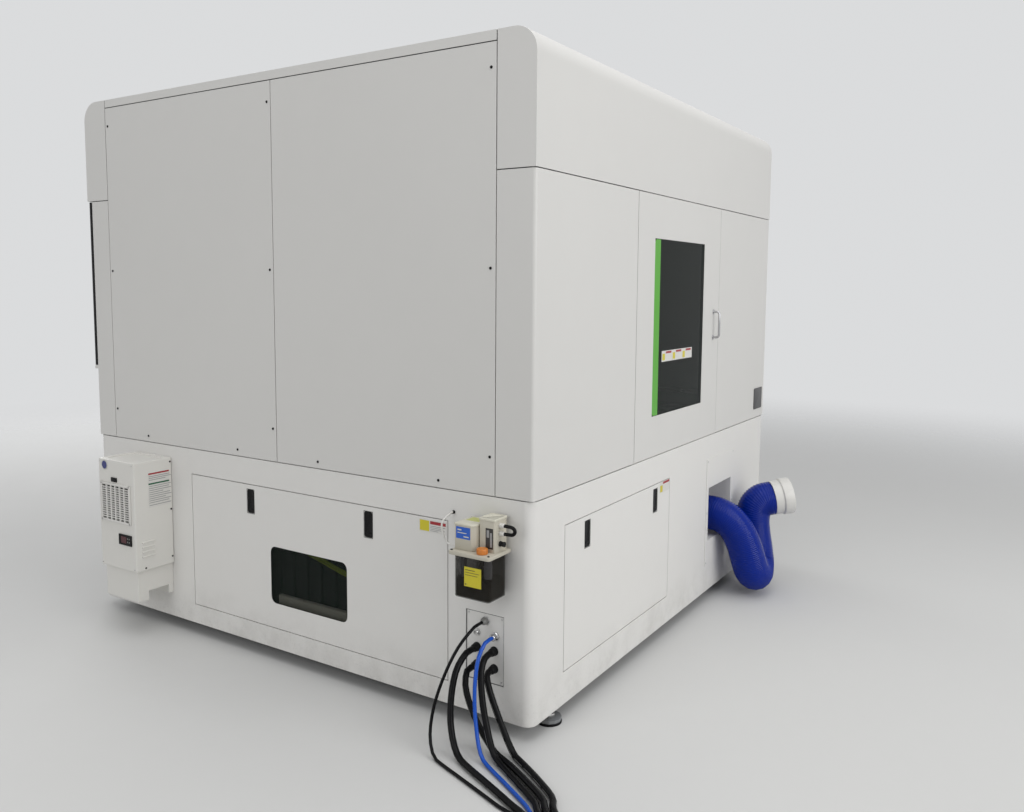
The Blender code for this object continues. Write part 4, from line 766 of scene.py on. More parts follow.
# %% Striped rubber
striped_rubber = black_rubber.copy()
striped_rubber.name = "striped_hose_rubber"
own_slot[striped_rubber.name] = "black_hose"
tree = striped_rubber.node_tree
shader = tree.nodes["Principled BSDF"]
unwrapped = tree.nodes.new("ShaderNodeUVMap")
parts = tree.nodes.new("ShaderNodeSeparateXYZ")
tree.links.new(unwrapped.outputs[0], parts.inputs[0])
off_line = math_node(tree, "ABSOLUTE", math_node(tree, "SUBTRACT", parts.outputs[1], 0.3))
on_line = math_node(tree, "SUBTRACT", 1, ramp(tree, off_line, 0.012, 0.022))
dash = math_node(tree, "FRACT", multiply(tree, parts.outputs[0], 36.0))
on_dash = math_node(tree, "LESS_THAN", dash, 0.8)
stripe = multiply(tree, multiply(tree, on_line, on_dash), 0.5)
old = shader.inputs["Base Color"].links[0].from_socket
tree.links.new(mix_colour(tree, stripe, old, (0.4, 0.4, 0.38, 1)), shader.inputs["Base Color"])
print("finish:", striped_rubber.name)


# %% [markdown]
# Couplings: a turned sleeve with a wide collar to hold it by, a ring groove behind the collar and
# an open end. It is spun from its outline round its own axis, and replaces the plain stepped
# sleeve.

# %% A coupling
def spun(name, outline, place, way, sides):
    """A closed turned piece: an outline of (radius, along) points, spun about an axis."""
    way = Vector(way).normalized()
    turn = way.to_track_quat("Z", "Y").to_matrix().to_4x4()
    mesh = bpy.data.meshes.new(name)
    made = linked(name, mesh)
    mesh.from_pydata([(r, 0, h) for r, h in outline], [(i, i + 1) for i in range(len(outline) - 1)], [])
    pick(made)
    bpy.ops.object.mode_set(mode="EDIT")
    bpy.ops.mesh.select_all(action="SELECT")
    bpy.ops.mesh.spin(steps=sides, angle=math.tau, center=(0, 0, 0), axis=(0, 0, 1))
    bpy.ops.mesh.select_all(action="SELECT")
    bpy.ops.mesh.remove_doubles(threshold=0.00005)
    bpy.ops.mesh.normals_make_consistent(inside=False)
    bpy.ops.object.mode_set(mode="OBJECT")
    mesh.transform(Matrix.Translation(Vector(place)) @ turn)
    return smooth(made)


def make_coupling(name):
    middle, way, thick = couplings[name]
    wide = thick + coupling_wall
    outline = [
        (0, 0), (thick * 1.04, 0), (thick * 1.04, 0.012), (thick * 0.94, 0.0135), (thick * 1.04, 0.015),
        (thick * 1.04, 0.0178), (wide * 0.97, 0.0182), (wide, 0.02), (wide, 0.035), (wide * 0.97, 0.037),
        (thick, 0.0375), (thick, 0.047), (thick * 0.9, 0.05), (thick * 0.6, 0.05), (thick * 0.6, 0.04),
        (0, 0.04),
    ]
    made = spun(name + "_sleeve", outline, middle + shift - way * coupling_length / 2, way, 24)
    return dress(made, brass, replaces=(name + "_coupling",))


# %% The six lines
looks = {"power_cable": black_rubber, "air_tube": air_blue}
for index, name in enumerate(line_order):
    points = line_path(name, index)
    thick = ports[name][2]
    curve = bevelled_curve(name + "_line", thick, 4)
    add_points(curve, points)
    line = linked(name + "_line", curve)
    dress(line, looks.get(name, striped_rubber), replaces=(name, "line_coil"))
    sleeve = make_coupling(name)
    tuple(points[0])
    path_length(points)
    print(name, "is", round(path_length(points), 3), "m long")

# %% [markdown]
# ## Softer edges on the sheet metal
# Folded and painted sheet never has a knife edge, and the thin light along its edges is what
# makes it read as metal. Each large panel is a copy of its solid: its loose triangles are merged,
# its flat faces made whole, and its sharp edges rounded by about a millimetre. Normals weighted by
# the faces' size keep a wide sheet evenly lit, so no shade runs from a corner across it.

# %% Rounded copies of the panels
body_of = {}
for body, members in frame["record"]["behaviour"]["bodies"].items():
    for member in members:
        body_of[member] = body


def eased(node, look, slot, width):
    """A copy of a node with rounded edges and smooth shading, which stands for the node."""
    made = linked(node + "_skin", nodes[node].data.copy())
    made.data.name = node + "_skin"
    pick(made)
    bpy.ops.object.mode_set(mode="EDIT")
    bpy.ops.mesh.select_all(action="SELECT")
    bpy.ops.mesh.remove_doubles(threshold=0.00002)
    bpy.ops.mesh.dissolve_limited(angle_limit=math.radians(0.6))
    bpy.ops.mesh.normals_make_consistent(inside=False)
    bpy.ops.object.mode_set(mode="OBJECT")
    before = len(made.data.polygons)
    soften(made, width, 2, 30)
    weights = made.modifiers.new("even shine", "WEIGHTED_NORMAL")
    weights.keep_sharp, weights.weight = True, 100
    bpy.ops.object.modifier_apply(modifier=weights.name)
    dress(made, look, body=body_of[node], slot=slot, replaces=(node,))
    print(node, before, "->", len(made.data.polygons), "faces")


for node in (
    "right_front_panel", "right_rear_panel", "left_front_panel", "left_rear_panel", "rear_right_corner",
    "rear_left_corner", "front_right_corner", "front_left_corner", "roof_panel", "rear_door", "front_panel",
    "rear_cowl", "front_cowl",
):
    eased(node, white_paint, "white_powder_coat", 0.0007)
for node in ("side_access_panel", "rear_access_panel", "duct_plate"):
    eased(node, lower_paint, "white_powder_coat", 0.0006)
for node in ("lower_cabinet", "scrap_drawer"):
    eased(node, lower_paint, "pale_powder_coat", 0.0006)
for node in ("ac_case", "ac_bracket"):
    eased(node, cream_paint, "pale_powder_coat", 0.0012)

# %% [markdown]
# ## The blue duct
# The duct is thin plastic film over a wound wire. It is a curve whose radius rises at every turn
# of the wire, made into a mesh and given a wall, so that the fine ribs catch the light in a row
# of small glints. It leaves the sunk box, hangs down in one loop and rises to its white socket.

# %% The ribbed duct
duct_radius, rib_height, rib_turns = 0.0745, 0.0024, 132
rib_rise = (0, 0.75, 1, 0.75)
duct_route = (
    (-0.495, 0.945, 0.366), (-0.495, 0.985, 0.366), (-0.495, 1.025, 0.366), (-0.495, 1.068, 0.362),
    (-0.496, 1.113, 0.343), (-0.498, 1.153, 0.303), (-0.505, 1.184, 0.24), (-0.515, 1.2, 0.178),
    (-0.541, 1.21, 0.121), (-0.6, 1.21, 0.093), (-0.66, 1.198, 0.117), (-0.686, 1.184, 0.172),
    (-0.692, 1.17, 0.235), (-0.688, 1.163, 0.295), (-0.684, 1.165, 0.338), (-0.69, 1.175, 0.377),
    (-0.706, 1.2, 0.404), (-0.729, 1.235, 0.413),
)
points = [spot + shift for spot in smooth_route(duct_route, rib_turns * len(rib_rise) + 1)]
curve = bevelled_curve("ribbed_duct", duct_radius, 6, caps=False)
for i, point in enumerate(add_points(curve, points).points):
    point.radius = 1 + rib_rise[i % len(rib_rise)] * rib_height / duct_radius
duct = as_mesh(curve)
wall = duct.modifiers.new("film", "SOLIDIFY")
wall.thickness, wall.offset = 0.0012, -1
bpy.ops.object.modifier_apply(modifier=wall.name)
bpy.ops.object.shade_smooth()
dress(duct, duct_blue, replaces=("exhaust_duct",))
print("duct:", len(duct.data.polygons), "faces,", round(path_length(points), 2), "m long")

# %% [markdown]
# The white socket is spun: a short collar over the duct's end, then a step up to the wider
# socket with a soft lip. Outlines are given in millimetres from here on: a radius, then a height.

# %% The duct's socket
def in_mm(*numbers):
    """Points of (radius, height) in metres, from one flat row of millimetres."""
    return [(radius / 1000, height / 1000) for radius, height in zip(numbers[::2], numbers[1::2])]


socket_way = (points[-1] - points[-6]).normalized()
outline = in_mm(
    68, 0, 75.5, 0, 76.5, 1, 76.5, 36, 77.7, 37.5, 81.2, 40.5, 82.2, 41.5, 82.2, 81, 81, 84,
    79.2, 85, 70, 85, 68, 83, 68, 0,
)
socket_piece = spun("duct_socket", outline, points[-1] + socket_way * 0.0003, socket_way, 56)
dress(socket_piece, white_plastic, replaces=("duct_cuff",))
print("socket points", [round(v, 2) for v in socket_way])

# %% [markdown]
# ## Screws
# The panels are held by small dark socket screws. One screw of a row is modelled: a turned head
# with a recess. The others are copies of it, and each row of screws is joined into one object.

# %% One screw, many places
out = 0.0003
side, left, rear, front, up, down = (1, 0, 0), (-1, 0, 0), (0, 1, 0), (0, -1, 0), (0, 0, 1), (0, 0, -1)
face_x, face_y = right_face + out, rear_face + out


def screw_row(name, places, way, look, radius=0.0045, head=0.002):
    """Low round heads with a recess, their feet on the skin: one is spun, the rest are copies."""
    outline = [
        (radius * 1.02, 0), (radius, head * 0.55), (radius * 0.82, head), (radius * 0.5, head),
        (radius * 0.44, head * 0.35), (0, head * 0.3),
    ]
    first = spun(name, outline, at(*places[0]), way, 12)
    others = [copy_piece(first, name, Vector(place) - Vector(places[0])) for place in places[1:]]
    return dress(joined(name, first, *others), look)


def mirrored(places):
    return [(-x, y, z) for x, y, z in places]


screw_rows, screw_columns = (1.836, 1.295, 0.765), (0.862, -0.016, -0.88)
upper_places = [(face_x, y * 1.06, z * 1.06 + 0.05) for z in screw_rows for y in screw_columns]
screw_row("side_panel_screws", upper_places, side, black_plastic)
screw_row("left_panel_screws", mirrored(upper_places), left, black_plastic)
plate_places = [(x, face_y + 0.002, z) for x in (-0.66, -0.338) for z in (0.18, 0.4, 0.626)]
screw_row("duct_plate_screws", plate_places, rear, bright_steel, 0.0035, 0.0016)
print("screws:", len(upper_places) * 2 + len(plate_places))

# %% [markdown]
# ## Paddle latches
# Each latch is a black paddle in a thin black rim. The paddle is a box whose corners are rounded,
# whose face is inset and sunk into a shallow dish, and whose lower part carries a small grip bar.
# The rim stays with the panel, and the paddle swings out with its own body.

# %% A paddle and its rim
def facing(axis, depths, across, heights):
    """The corners of a box on a face: axis 0 is the machine's side and 1 its rear."""
    low, high = [across[0], across[0], heights[0]], [across[1], across[1], heights[1]]
    low[axis], high[axis] = depths
    return low, high


def around(middle, half):
    return middle - half, middle + half


def four_bars(name, axis, depths, across, heights, wide, tall_sides=False):
    """A flat frame of four bars; its upright bars or its level ones take the corners."""
    (a0, a1), (h0, h1) = across, heights
    level, upright = (wide, 0) if tall_sides else (0, wide)
    bars = (
        ((a0, a0 + wide), (h0 + upright, h1 - upright)), ((a1 - wide, a1), (h0 + upright, h1 - upright)),
        ((a0 + level, a1 - level), (h1 - wide, h1)), ((a0 + level, a1 - level), (h0, h0 + wide)),
    )
    return joined(name, *[box_piece(name, *facing(axis, depths, *bar)) for bar in bars])


half_wide, half_tall, latch_depth = 0.0177, 0.0437, 0.0047
hole_wide, hole_tall, rim_wide = 0.0181, 0.0441, 0.0016
for name, node, panel_body, body, axis, face, middle, height in (
    ("side_front_paddle", "side_latch_front", "side_access", "side_front_latch", 0, right_face, -0.142, 0.58),
    ("side_rear_paddle", "side_latch_rear", "side_access", "side_rear_latch", 0, right_face, 0.429, 0.58),
    ("rear_left_paddle", "rear_latch_left", "rear_access", "rear_left_latch", 1, rear_face, 0.22, 0.57),
    ("rear_right_paddle", "rear_latch_right", "rear_access", "rear_right_latch", 1, rear_face, 0.767, 0.57),
):
    across, heights = around(middle, half_wide), around(height, half_tall)
    paddle = box_piece(name, *facing(axis, (face - latch_depth, face), across, heights))
    round_edges(paddle, axis, 0.0065, 5)
    sink(paddle, (side, rear)[axis], (0.003, 0.0012), (0.004, 0.0008))
    soften(paddle, 0.0006, 2, 35)
    grip_across, grip_heights = around(middle, half_wide - 0.0075), (heights[0] + 0.012, heights[0] + 0.017)
    grip = box_piece(name + "_grip", *facing(axis, (face - 0.0022, face - 0.0004), grip_across, grip_heights))
    dress(joined(name, paddle, soften(grip, 0.0008, 2)), black_plastic, body=body, replaces=(node,))
    across, heights = around(middle, hole_wide + rim_wide), around(height, hole_tall + rim_wide)
    rim = four_bars(name + "_rim", axis, (face + 0.0002, face + 0.0009), across, heights, rim_wide)
    dress(soften(rim, 0.0002, 1), black_plastic, body=panel_body)
print("four latches")

# %% [markdown]
# ## Windows
# The rear window has a green strip along its left edge and a small bare sticker. Behind the side
# window lie a pale cable trough and a loop of yellow and green earth wire, which show through
# the dark pane.

# %% Strip, sticker and what lies behind the side window
strip_green = new_finish("green_strip", (0.075, 0.36, 0.014), (0.05, 6), (900, 0.03, 0.0003), (0.3, 0.42))
earth_green = new_finish("earth_wire", (0.34, 0.42, 0.01), (0.1, 20), (900, 0.05, 0.0003), (0.3, 0.4))


def on_rear(name, depth, thick, across, heights):
    """A flat box on the rear; its depth is measured outwards from the rear face."""
    return box_piece(name, *facing(1, (rear_face + depth, rear_face + depth + thick), across, heights))


pane_depth = -0.0023
strip = on_rear("window_strip", pane_depth, 0.0006, (0.216, 0.2685), (0.8955, 1.5465))
round_edges(strip, 1, 0.02, 6, lambda spot: spot.x > at(0.26, 0, 0).x)
dress(smooth(strip), strip_green, body="rear_entry")
sticker = on_rear("window_sticker", pane_depth, 0.0004, (-0.12, 0.185), (1.092, 1.133))
dress(sticker, white_plastic, body="rear_entry")
trough = box_piece("cable_trough", (1.0785, -0.02, 0.214), (1.096, 0.36, 0.2475))
dress(soften(trough, 0.001), cream_plastic)
curve = bevelled_curve("earth_wire", 0.0045, 3)
wire_route = (
    (1.09, 0.13, 0.432), (1.0905, 0.19, 0.418), (1.0905, 0.26, 0.4), (1.09, 0.33, 0.384),
    (1.088, 0.38, 0.378),
)
for lift in (0, -0.0105):
    add_points(curve, [at(*spot) + Vector((0, 0, lift)) for spot in smooth_route(wire_route, 24)])
dress(as_mesh(curve, 35), earth_green)
print("window pieces done")

# %% [markdown]
# ## The rear door's handle
# The pull is a bent chrome bar with a round base at each end.

# %% Handle
handle_x, low, high, reach, turn = -0.354, 1.162, 1.27, 0.027, 0.012
bend = [(handle_x, rear_face + 0.0004, high)]
for i in range(9):
    angle = math.pi / 2 * i / 8
    y = rear_face + reach - turn + turn * math.sin(angle)
    bend.append((handle_x, y, high - turn + turn * math.cos(angle)))
bend += [(x, y, low + high - z) for x, y, z in reversed(bend)]
curve = bevelled_curve("door_pull", 0.0048, 5)
add_points(curve, [at(*spot) for spot in bend])
pull = as_mesh(curve, 35)
base = in_mm(0, 0, 10.5, 0, 10.5, 1.5, 9, 2.5, 0, 2.5)
bases = [spun("pull_base", base, at(handle_x, rear_face + 0.0003, z), rear, 24) for z in (low, high)]
dress(joined("door_pull", pull, *bases), chrome, body="rear_entry", replaces=("rear_handle",))
print("handle done")

# %% [markdown]
# ## The connector plate
# The plate lies a sheet's depth behind its hole. Each line has its own fitting, spun from an
# outline: a grey gland for the power cable, a plated push fitting for the air tube, black collars
# for the hoses, and one empty threaded port with its hexagon nut.

# %% Plate and fittings
plate_front = right_face - 0.0033
plate = box_piece("connector_sheet", (plate_front - 0.002, 0.815, 0.144), (plate_front, 0.98, 0.388))
dress(soften(plate, 0.0003, 1), lower_paint, slot="steel", replaces=("connector_plate",))
grey_plastic = new_finish(
    "grey_gland_plastic", (0.2, 0.2, 0.19), drift=(0.08, 20), skin=(1200, 0.15, 0.0003), shine=(0.32, 0.46),
)
gland = in_mm(
    0, 0, 12.5, 0, 12.5, 4.2, 10.4, 5, 10.4, 5.2, 11.2, 5.8, 11.2, 13.5, 9.8, 16.2, 7.8, 19.5,
    6.2, 21.6, 5.3, 21.8, 0, 21.8,
)
push_fitting = in_mm(
    0, 0, 12.2, 0, 12.2, 3.5, 9.8, 4.5, 9.8, 13.5, 10.8, 14.2, 10.8, 18.5, 9.2, 21.2, 6.3, 21.8, 0, 21.8,
)
collar = in_mm(
    0, 0, 14.4, 0, 14.4, 3.2, 12.6, 4.6, 12.6, 6.8, 13.2, 7.4, 13.2, 9.2, 12.6, 9.8, 12.6, 16.5,
    11.4, 20.8, 10.4, 21.8, 0, 21.8,
)
kinds = {"power_cable": (gland, grey_plastic, None), "air_tube": (push_fitting, chrome, "steel")}
for name in ports:
    outline, look, slot = kinds.get(name, (collar, black_plastic, "black_plastic"))
    y, z = ports[name][:2]
    fitting = spun(name + "_fitting", outline, at(plate_front + 0.0002, y, z), side, 32)
    dress(fitting, look, slot=slot, replaces=("connector_plate",))
nuts = []
for y, z, reach, tall in ((0.868, 0.31, 12.5, 5.5), (0.936, 0.31, 14.2, 3.2), (0.9, 0.352, 15.2, 3.6)):
    outline = in_mm(0, 0, reach - 0.6, 0, reach, 0.6, reach, tall - 0.8, reach - 1.2, tall, 0, tall)
    nuts.append(spun("hexagon", outline, at(plate_front + 0.0001, y, z), side, 6))
thread = in_mm(
    0, 0, 8, 0, 8, 5.4, 7.4, 6, 8, 6.6, 7.4, 7.4, 8, 8.2, 7.4, 9, 8, 9.8, 7.4, 10.6, 7.2, 11.8,
    5.2, 11.8, 5.2, 6, 0, 6,
)
nuts.append(spun("empty_port", thread, at(plate_front + 0.0001, 0.868, 0.31), side, 24))
dress(joined("plate_nuts", *nuts), bright_steel, replaces=("connector_plate",))
corners = [(plate_front + 0.0003, y, z) for z in (0.366, 0.168) for y in (0.836, 0.959)]
screw_row("connector_screws", corners, side, bright_steel, 0.003, 0.0014)
print("fittings done")

# %% [markdown]
# ## The oiler
# The oiler hangs on a deck that carries two beige blocks: the pump on the left, the timer on the
# right, each with a pale lid. Print is left out: the labels are plain fields of colour. Depths
# here are measured from the machine's side.

# %% Deck and blocks
def block_at(name, depths, across, heights):
    return box_piece(name, *facing(0, (right_face + depths[0], right_face + depths[1]), across, heights))


def rounded_block(name, depths, across, heights, radius, edge_width, segments=5):
    made = block_at(name, depths, across, heights)
    return soften(round_edges(made, 2, radius, segments), edge_width, 2, 35)


def clipped_block(name, depths, across, heights, edge_width):
    """A block whose outer rear corner is cut off at a slant."""
    made = block_at(name, depths, across, heights)
    corner = at(right_face + depths[1], across[1], 0).xy
    round_edges(made, 2, 0.011, 1, lambda spot: (spot.xy - corner).length < 0.002)
    return soften(made, edge_width, 3, 30)


deck = rounded_block("oiler_deck", (0.0005, 0.1218), (0.8472, 0.9948), (0.5832, 0.5948), 0.009, 0.0018)
pump = clipped_block("pump_block", (0.0122, 0.0998), (0.8572, 0.9278), (0.5945, 0.6695), 0.0025)
timer = rounded_block("timer_block", (0.0122, 0.0778), (0.9302, 0.9848), (0.5945, 0.6895), 0.004, 0.0012)
rib = rounded_block("rib_block", (0.014, 0.07), (0.9262, 0.932), (0.5945, 0.66), 0.001, 0.0006, 2)
dress(joined("oiler_blocks", deck, pump, timer, rib), beige_plastic, replaces=("lubricator_head",))
pump_lid = clipped_block("pump_lid", (0.0105, 0.1012), (0.8558, 0.9285), (0.6688, 0.6748), 0.0018)
timer_lid = rounded_block("timer_lid", (0.0108, 0.0792), (0.9288, 0.9862), (0.6888, 0.6958), 0.004, 0.0014)
sink(timer_lid, up, (0.005, 0.0014))
dress(joined("oiler_lids", pump_lid, timer_lid), cream_plastic, replaces=("lubricator_head",))
seal = block_at("deck_seal", (0.0085, 0.1095), (0.8535, 0.9885), (0.5812, 0.5831))
dress(seal, black_rubber, slot="black_plastic")
print("oiler blocks done")

# %% [markdown]
# The fields of colour: a blue one and a dark one on the blocks, a yellow one on the tank, a
# yellowish one on the pump's lid, and a pale one on the panel beside the oiler. All but the
# lid's have a few plain bars in place of print.

# %% Plain labels
label_skin = (900, 0.03, 0.0002)


def label_finish(name, colour, amount, shine):
    return new_finish(name, colour, drift=(amount, 30), skin=label_skin, shine=shine)


label_blue = label_finish("label_blue", (0.012, 0.1, 0.5), 0.05, (0.3, 0.4))
label_dark = label_finish("label_dark", (0.025, 0.022, 0.02), 0.05, (0.3, 0.4))
label_yellow = label_finish("label_yellow", (0.6, 0.52, 0.02), 0.06, (0.32, 0.42))
label_lime = label_finish("label_lime", (0.5, 0.52, 0.16), 0.06, (0.35, 0.45))
label_red = label_finish("label_red", (0.33, 0.012, 0.018), 0.05, (0.32, 0.42))
label_green = label_finish("label_green", (0.012, 0.11, 0.05), 0.05, (0.32, 0.42))
label_grey = label_finish("label_grey", (0.3, 0.3, 0.3), 0.05, (0.35, 0.45))


def field(name, look, depth, across, heights, body="machine"):
    """A thin field on a face that looks sideways, a quarter of a millimetre thick."""
    dress(block_at(name, (depth, depth + 0.00025), across, heights), look, body=body, slot=None)


def bars(name, look, depth, rows, body="machine"):
    """Thinner bars on such a face, each from its start to its end, low and high."""
    parts = [block_at(name, (depth, depth + 0.0002), (a, b), (c, d)) for a, b, c, d in rows]
    dress(joined(name, *parts), look, body=body, slot=None)


field("pump_field", label_blue, 0.09985, (0.8625, 0.9135), (0.6295, 0.665))
pump_rows = [(0.868, 0.882, 0.654, 0.658), (0.868, 0.9, 0.646, 0.6485), (0.89, 0.908, 0.635, 0.6385)]
bars("pump_bars", cream_plastic, 0.1002, pump_rows)
field("timer_field", label_dark, 0.07785, (0.953, 0.9795), (0.6065, 0.668))
bars("timer_bars", label_grey, 0.0782, [(0.957, 0.9655, 0.64, 0.662), (0.969, 0.9755, 0.612, 0.655)])
dress(block_at("lid_field", (0.02, 0.058), (0.868, 0.9145), (0.6748, 0.67505)), label_lime)
field("panel_field", white_plastic, 0.0002, (0.6445, 0.7525), (0.5945, 0.6345), body="side_access")
field("panel_corner_field", label_yellow, 0.0005, (0.647, 0.6845), (0.5975, 0.6315), body="side_access")
bars("panel_red_bar", label_red, 0.0005, [(0.6885, 0.7495, 0.6215, 0.6315)], body="side_access")
grey_rows = [
    (0.6885, 0.7485, 0.6145, 0.6165), (0.6885, 0.735, 0.6095, 0.6113),
    (0.6885, 0.7465, 0.6045, 0.6063), (0.6885, 0.72, 0.5995, 0.6013),
]
bars("panel_grey_bars", label_grey, 0.0005, grey_rows, body="side_access")
print("labels done")

# %% [markdown]
# The tank is a smoky shell with rounded corners, open under the deck: a box whose top face is
# deleted, with a wall. Dark oil stands in its lower half. The pump's strainer and thin suction
# pipe show through on the left, and the float's tube on the right.

# %% The smoky tank
def at_the_foot(spot, edge):
    return spot.z < 0.4523 and abs(edge.verts[0].co.z - edge.verts[1].co.z) < 0.0001


tank = block_at("tank_shell", (0.0122, 0.1058), (0.8572, 0.9848), (0.4522, 0.5826))
round_edges(tank, 2, 0.0115, 6)
choose(tank, "edges", at_the_foot)
bpy.ops.mesh.bevel(offset=0.005, segments=4)
choose(tank, "faces", lambda spot, normal: normal.z > 0.95 and spot.z > 0.58)
bpy.ops.mesh.delete(type="FACE")
leave_edit()
shell = tank.modifiers.new("wall", "SOLIDIFY")
shell.thickness, shell.offset = 0.0028, -1
pick(tank)
bpy.ops.object.modifier_apply(modifier=shell.name)
dress(smooth(tank, 40), smoky_pane, replaces=("lubricator_tank",))
oil_dark = new_finish(
    "dark_oil", (0.008, 0.005, 0.002), drift=(0.2, 14), skin=(60, 0.02, 0.0003), shine=(0.08, 0.16),
)
oil = rounded_block("tank_oil", (0.0156, 0.1024), (0.8606, 0.9814), (0.4556, 0.5115), 0.0085, 0.0015)
dress(oil, oil_dark)
clear_grey = new_finish(
    "pale_inner_plastic", (0.42, 0.42, 0.45), drift=(0.1, 30), skin=(900, 0.05, 0.0003), shine=(0.2, 0.34),
)
strainer_x, float_x = right_face + 0.088, right_face + 0.086
strainer = disc_piece("strainer", (strainer_x, 0.8795, 0.5825), down, 0.0115, 0.04, 28)
cone_outline = in_mm(0, 0, 8.5, 0, 2.4, 50, 2.4, 65.5, 0, 65.5)
cone = spun("strainer_cone", cone_outline, at(strainer_x, 0.8795, 0.5425), down, 28)
float_tube = disc_piece("float_tube", (float_x, 0.968, 0.5825), down, 0.0118, 0.062, 28)
float_ring = disc_piece("float_ring", (float_x, 0.968, 0.5575), down, 0.0135, 0.004, 28)
dress(soften(joined("tank_insides", strainer, cone, float_tube, float_ring), 0.0006, 2, 40), clear_grey)
field("tank_field", label_yellow, 0.1059, (0.8965, 0.957), (0.4915, 0.5505))
tank_rows = [
    (0.9, 0.935, 0.5405, 0.5425), (0.9, 0.95, 0.533, 0.5345), (0.9, 0.944, 0.5255, 0.527),
    (0.9, 0.9045, 0.496, 0.5),
]
bars("tank_bars", label_dark, 0.1062, tank_rows)
print("tank done")

# %% [markdown]
# The filler cap is knurled: every second strip of its side is pulled in a little. The neck under
# it belongs to the deck.

# %% Filler cap and neck
cap_place, cap_sides = (right_face + 0.098, 0.955), 40
neck = spun("filler_neck", in_mm(0, 0, 10.8, 0, 10.8, 11.8, 0, 11.8), at(*cap_place, 0.5948), up, 28)
dress(neck, beige_plastic, replaces=("lubricator_head",))
cap_middle = at(*cap_place, 0)
outline = in_mm(
    0, 12.2, 11.2, 12.2, 11.2, 0, 16, 0, 16.6, 0.8, 16.6, 13.8, 16, 15.2, 13.5, 16.2, 12, 15.8, 0, 16.8,
)
cap = spun("filler_cap", outline, at(*cap_place, 0.5958), up, cap_sides)


def every_other(spot, normal):
    if abs(normal.z) > 0.3 or (spot - cap_middle).xy.length < 0.0155:
        return False
    turn = math.degrees(math.atan2(spot.y - cap_middle.y, spot.x - cap_middle.x)) % 360
    return int(turn / (360 / cap_sides)) % 2 == 0


choose(cap, "faces", every_other)
bpy.ops.mesh.inset(thickness=0.0003, use_individual=True)
bpy.ops.transform.shrink_fatten(value=-0.0008)
leave_edit()
dress(smooth(cap, 28), orange_plastic, body="oil_cap", replaces=("lubricator_cap",))
print("cap done")

# %% [markdown]
# Two pale glands hold the timer's black lead, which bends back in a short loop, and a pale pipe
# bows out from the cabinet to the deck.

# %% Glands, loop and oil pipe
lead_x, lead_out, lead_end = right_face + 0.05, 1.009, 1.037
outline = in_mm(0, 0, 7.5, 0, 7.5, 4, 6.6, 4.8, 6.6, 10.5, 7.2, 11.2, 7.2, 13.5, 5.6, 15.8, 0, 15.8)
glands = [spun("gland", outline, at(lead_x, 0.9851, z), rear, 24) for z in (0.674, 0.65)]
dress(joined("timer_glands", *glands), white_plastic, replaces=("lubricator_head",))


def fixed_line(name, route, radius, look, replaces=(), body="machine", count=40):
    """A stiff or clipped line: a bevelled curve made into a mesh."""
    curve = bevelled_curve(name, radius, 4)
    add_points(curve, [spot + shift for spot in smooth_route(route, count)])
    dress(as_mesh(curve, 50), look, body=body, replaces=replaces)


lead_route = [
    (lead_x, 0.9985, 0.674), (lead_x, lead_out, 0.674), (lead_x, lead_end - 0.0075, 0.6721),
    (lead_x, lead_end, 0.662), (lead_x, lead_end - 0.0075, 0.6519), (lead_x, lead_out, 0.65),
    (lead_x, 0.9985, 0.65),
]
fixed_line("timer_lead", lead_route, 0.0054, black_rubber, replaces=("lubricator_head",))
start = Vector((right_face + 0.0004, 0.781, 0.674))
steps = ((0, 0, 0), (0.016, 0, 0), (0.05, -0.006, -0.02), (0.058, 0, -0.05), (0.059, 0.02, -0.08))
bow = [*(start + Vector(step) for step in steps), Vector((right_face + 0.061, 0.849, 0.589))]
fixed_line("oil_pipe", bow, 0.003, white_plastic, replaces=("lubricator_head",))
outline = in_mm(0, 0, 5.5, 0, 5.5, 2, 4.4, 3, 4.4, 7.5, 3.6, 8.5, 0, 8.5)
dress(spun("pipe_sleeve", outline, start + shift, side, 20), black_rubber, slot="black_plastic")
nut = disc_piece("pipe_nut", (right_face + 0.061, 0.8478, 0.589), front, 0.0052, 0.006, 6)
dress(soften(nut, 0.0004, 1), brass)
deck_places = [(right_face + 0.112, y, 0.5951) for y in (0.855, 0.9865)]
screw_row("deck_screws", deck_places, up, black_plastic, 0.0038)
print("oiler done")

# %% [markdown]
# ## The cooler
# The cooler is a cream box on the machine's side. Its grille is a white frame with fifteen rows
# of slots over a near-black sheet that paints the shade inside the slots, and its front carries a
# bare round badge, a black tab and a small display with a reddish window. The side carries a plain
# field with bars, and a few dark screws.

# %% Grille
case_front = 0.168
case_skin = right_face + case_front
# A near-black, rough finish for the sheet behind the grille: painted shade that darkens the slots.
slot_shade_black = new_finish(
    "slot_shade_black", (0.008, 0.008, 0.009), drift=(0.2, 30), skin=(500, 0.6, 0.0008), shine=(0.6, 0.8),
)
near, far = case_front + 0.0003, case_front + 0.0063
grille_left, grille_right, grille_low, grille_high, margin = -0.8, -0.6155, 0.4535, 0.606, 0.0092
frame_bars = []
for across, heights in (
    ((grille_left, grille_left + margin), (grille_low, grille_high)),
    ((grille_right - margin, grille_right), (grille_low, grille_high)),
    ((grille_left + 0.002, grille_right - 0.002), (grille_low, grille_low + margin)),
    ((grille_left + 0.002, grille_right - 0.002), (grille_high - margin, grille_high)),
):
    frame_bars.append(soften(block_at("grille_frame", (near, far), across, heights), 0.0014, 2))
columns, rows = 6, 15
slot_wide = (grille_right - grille_left - 2 * margin) / columns
slot_tall = (grille_high - grille_low - 2 * margin) / rows
for index in range(1, columns):
    across = around(grille_left + margin + index * slot_wide, 0.0037)
    heights = (grille_low + 0.004, grille_high - 0.004)
    frame_bars.append(block_at("grille_upright", (near, far - 0.0012), across, heights))
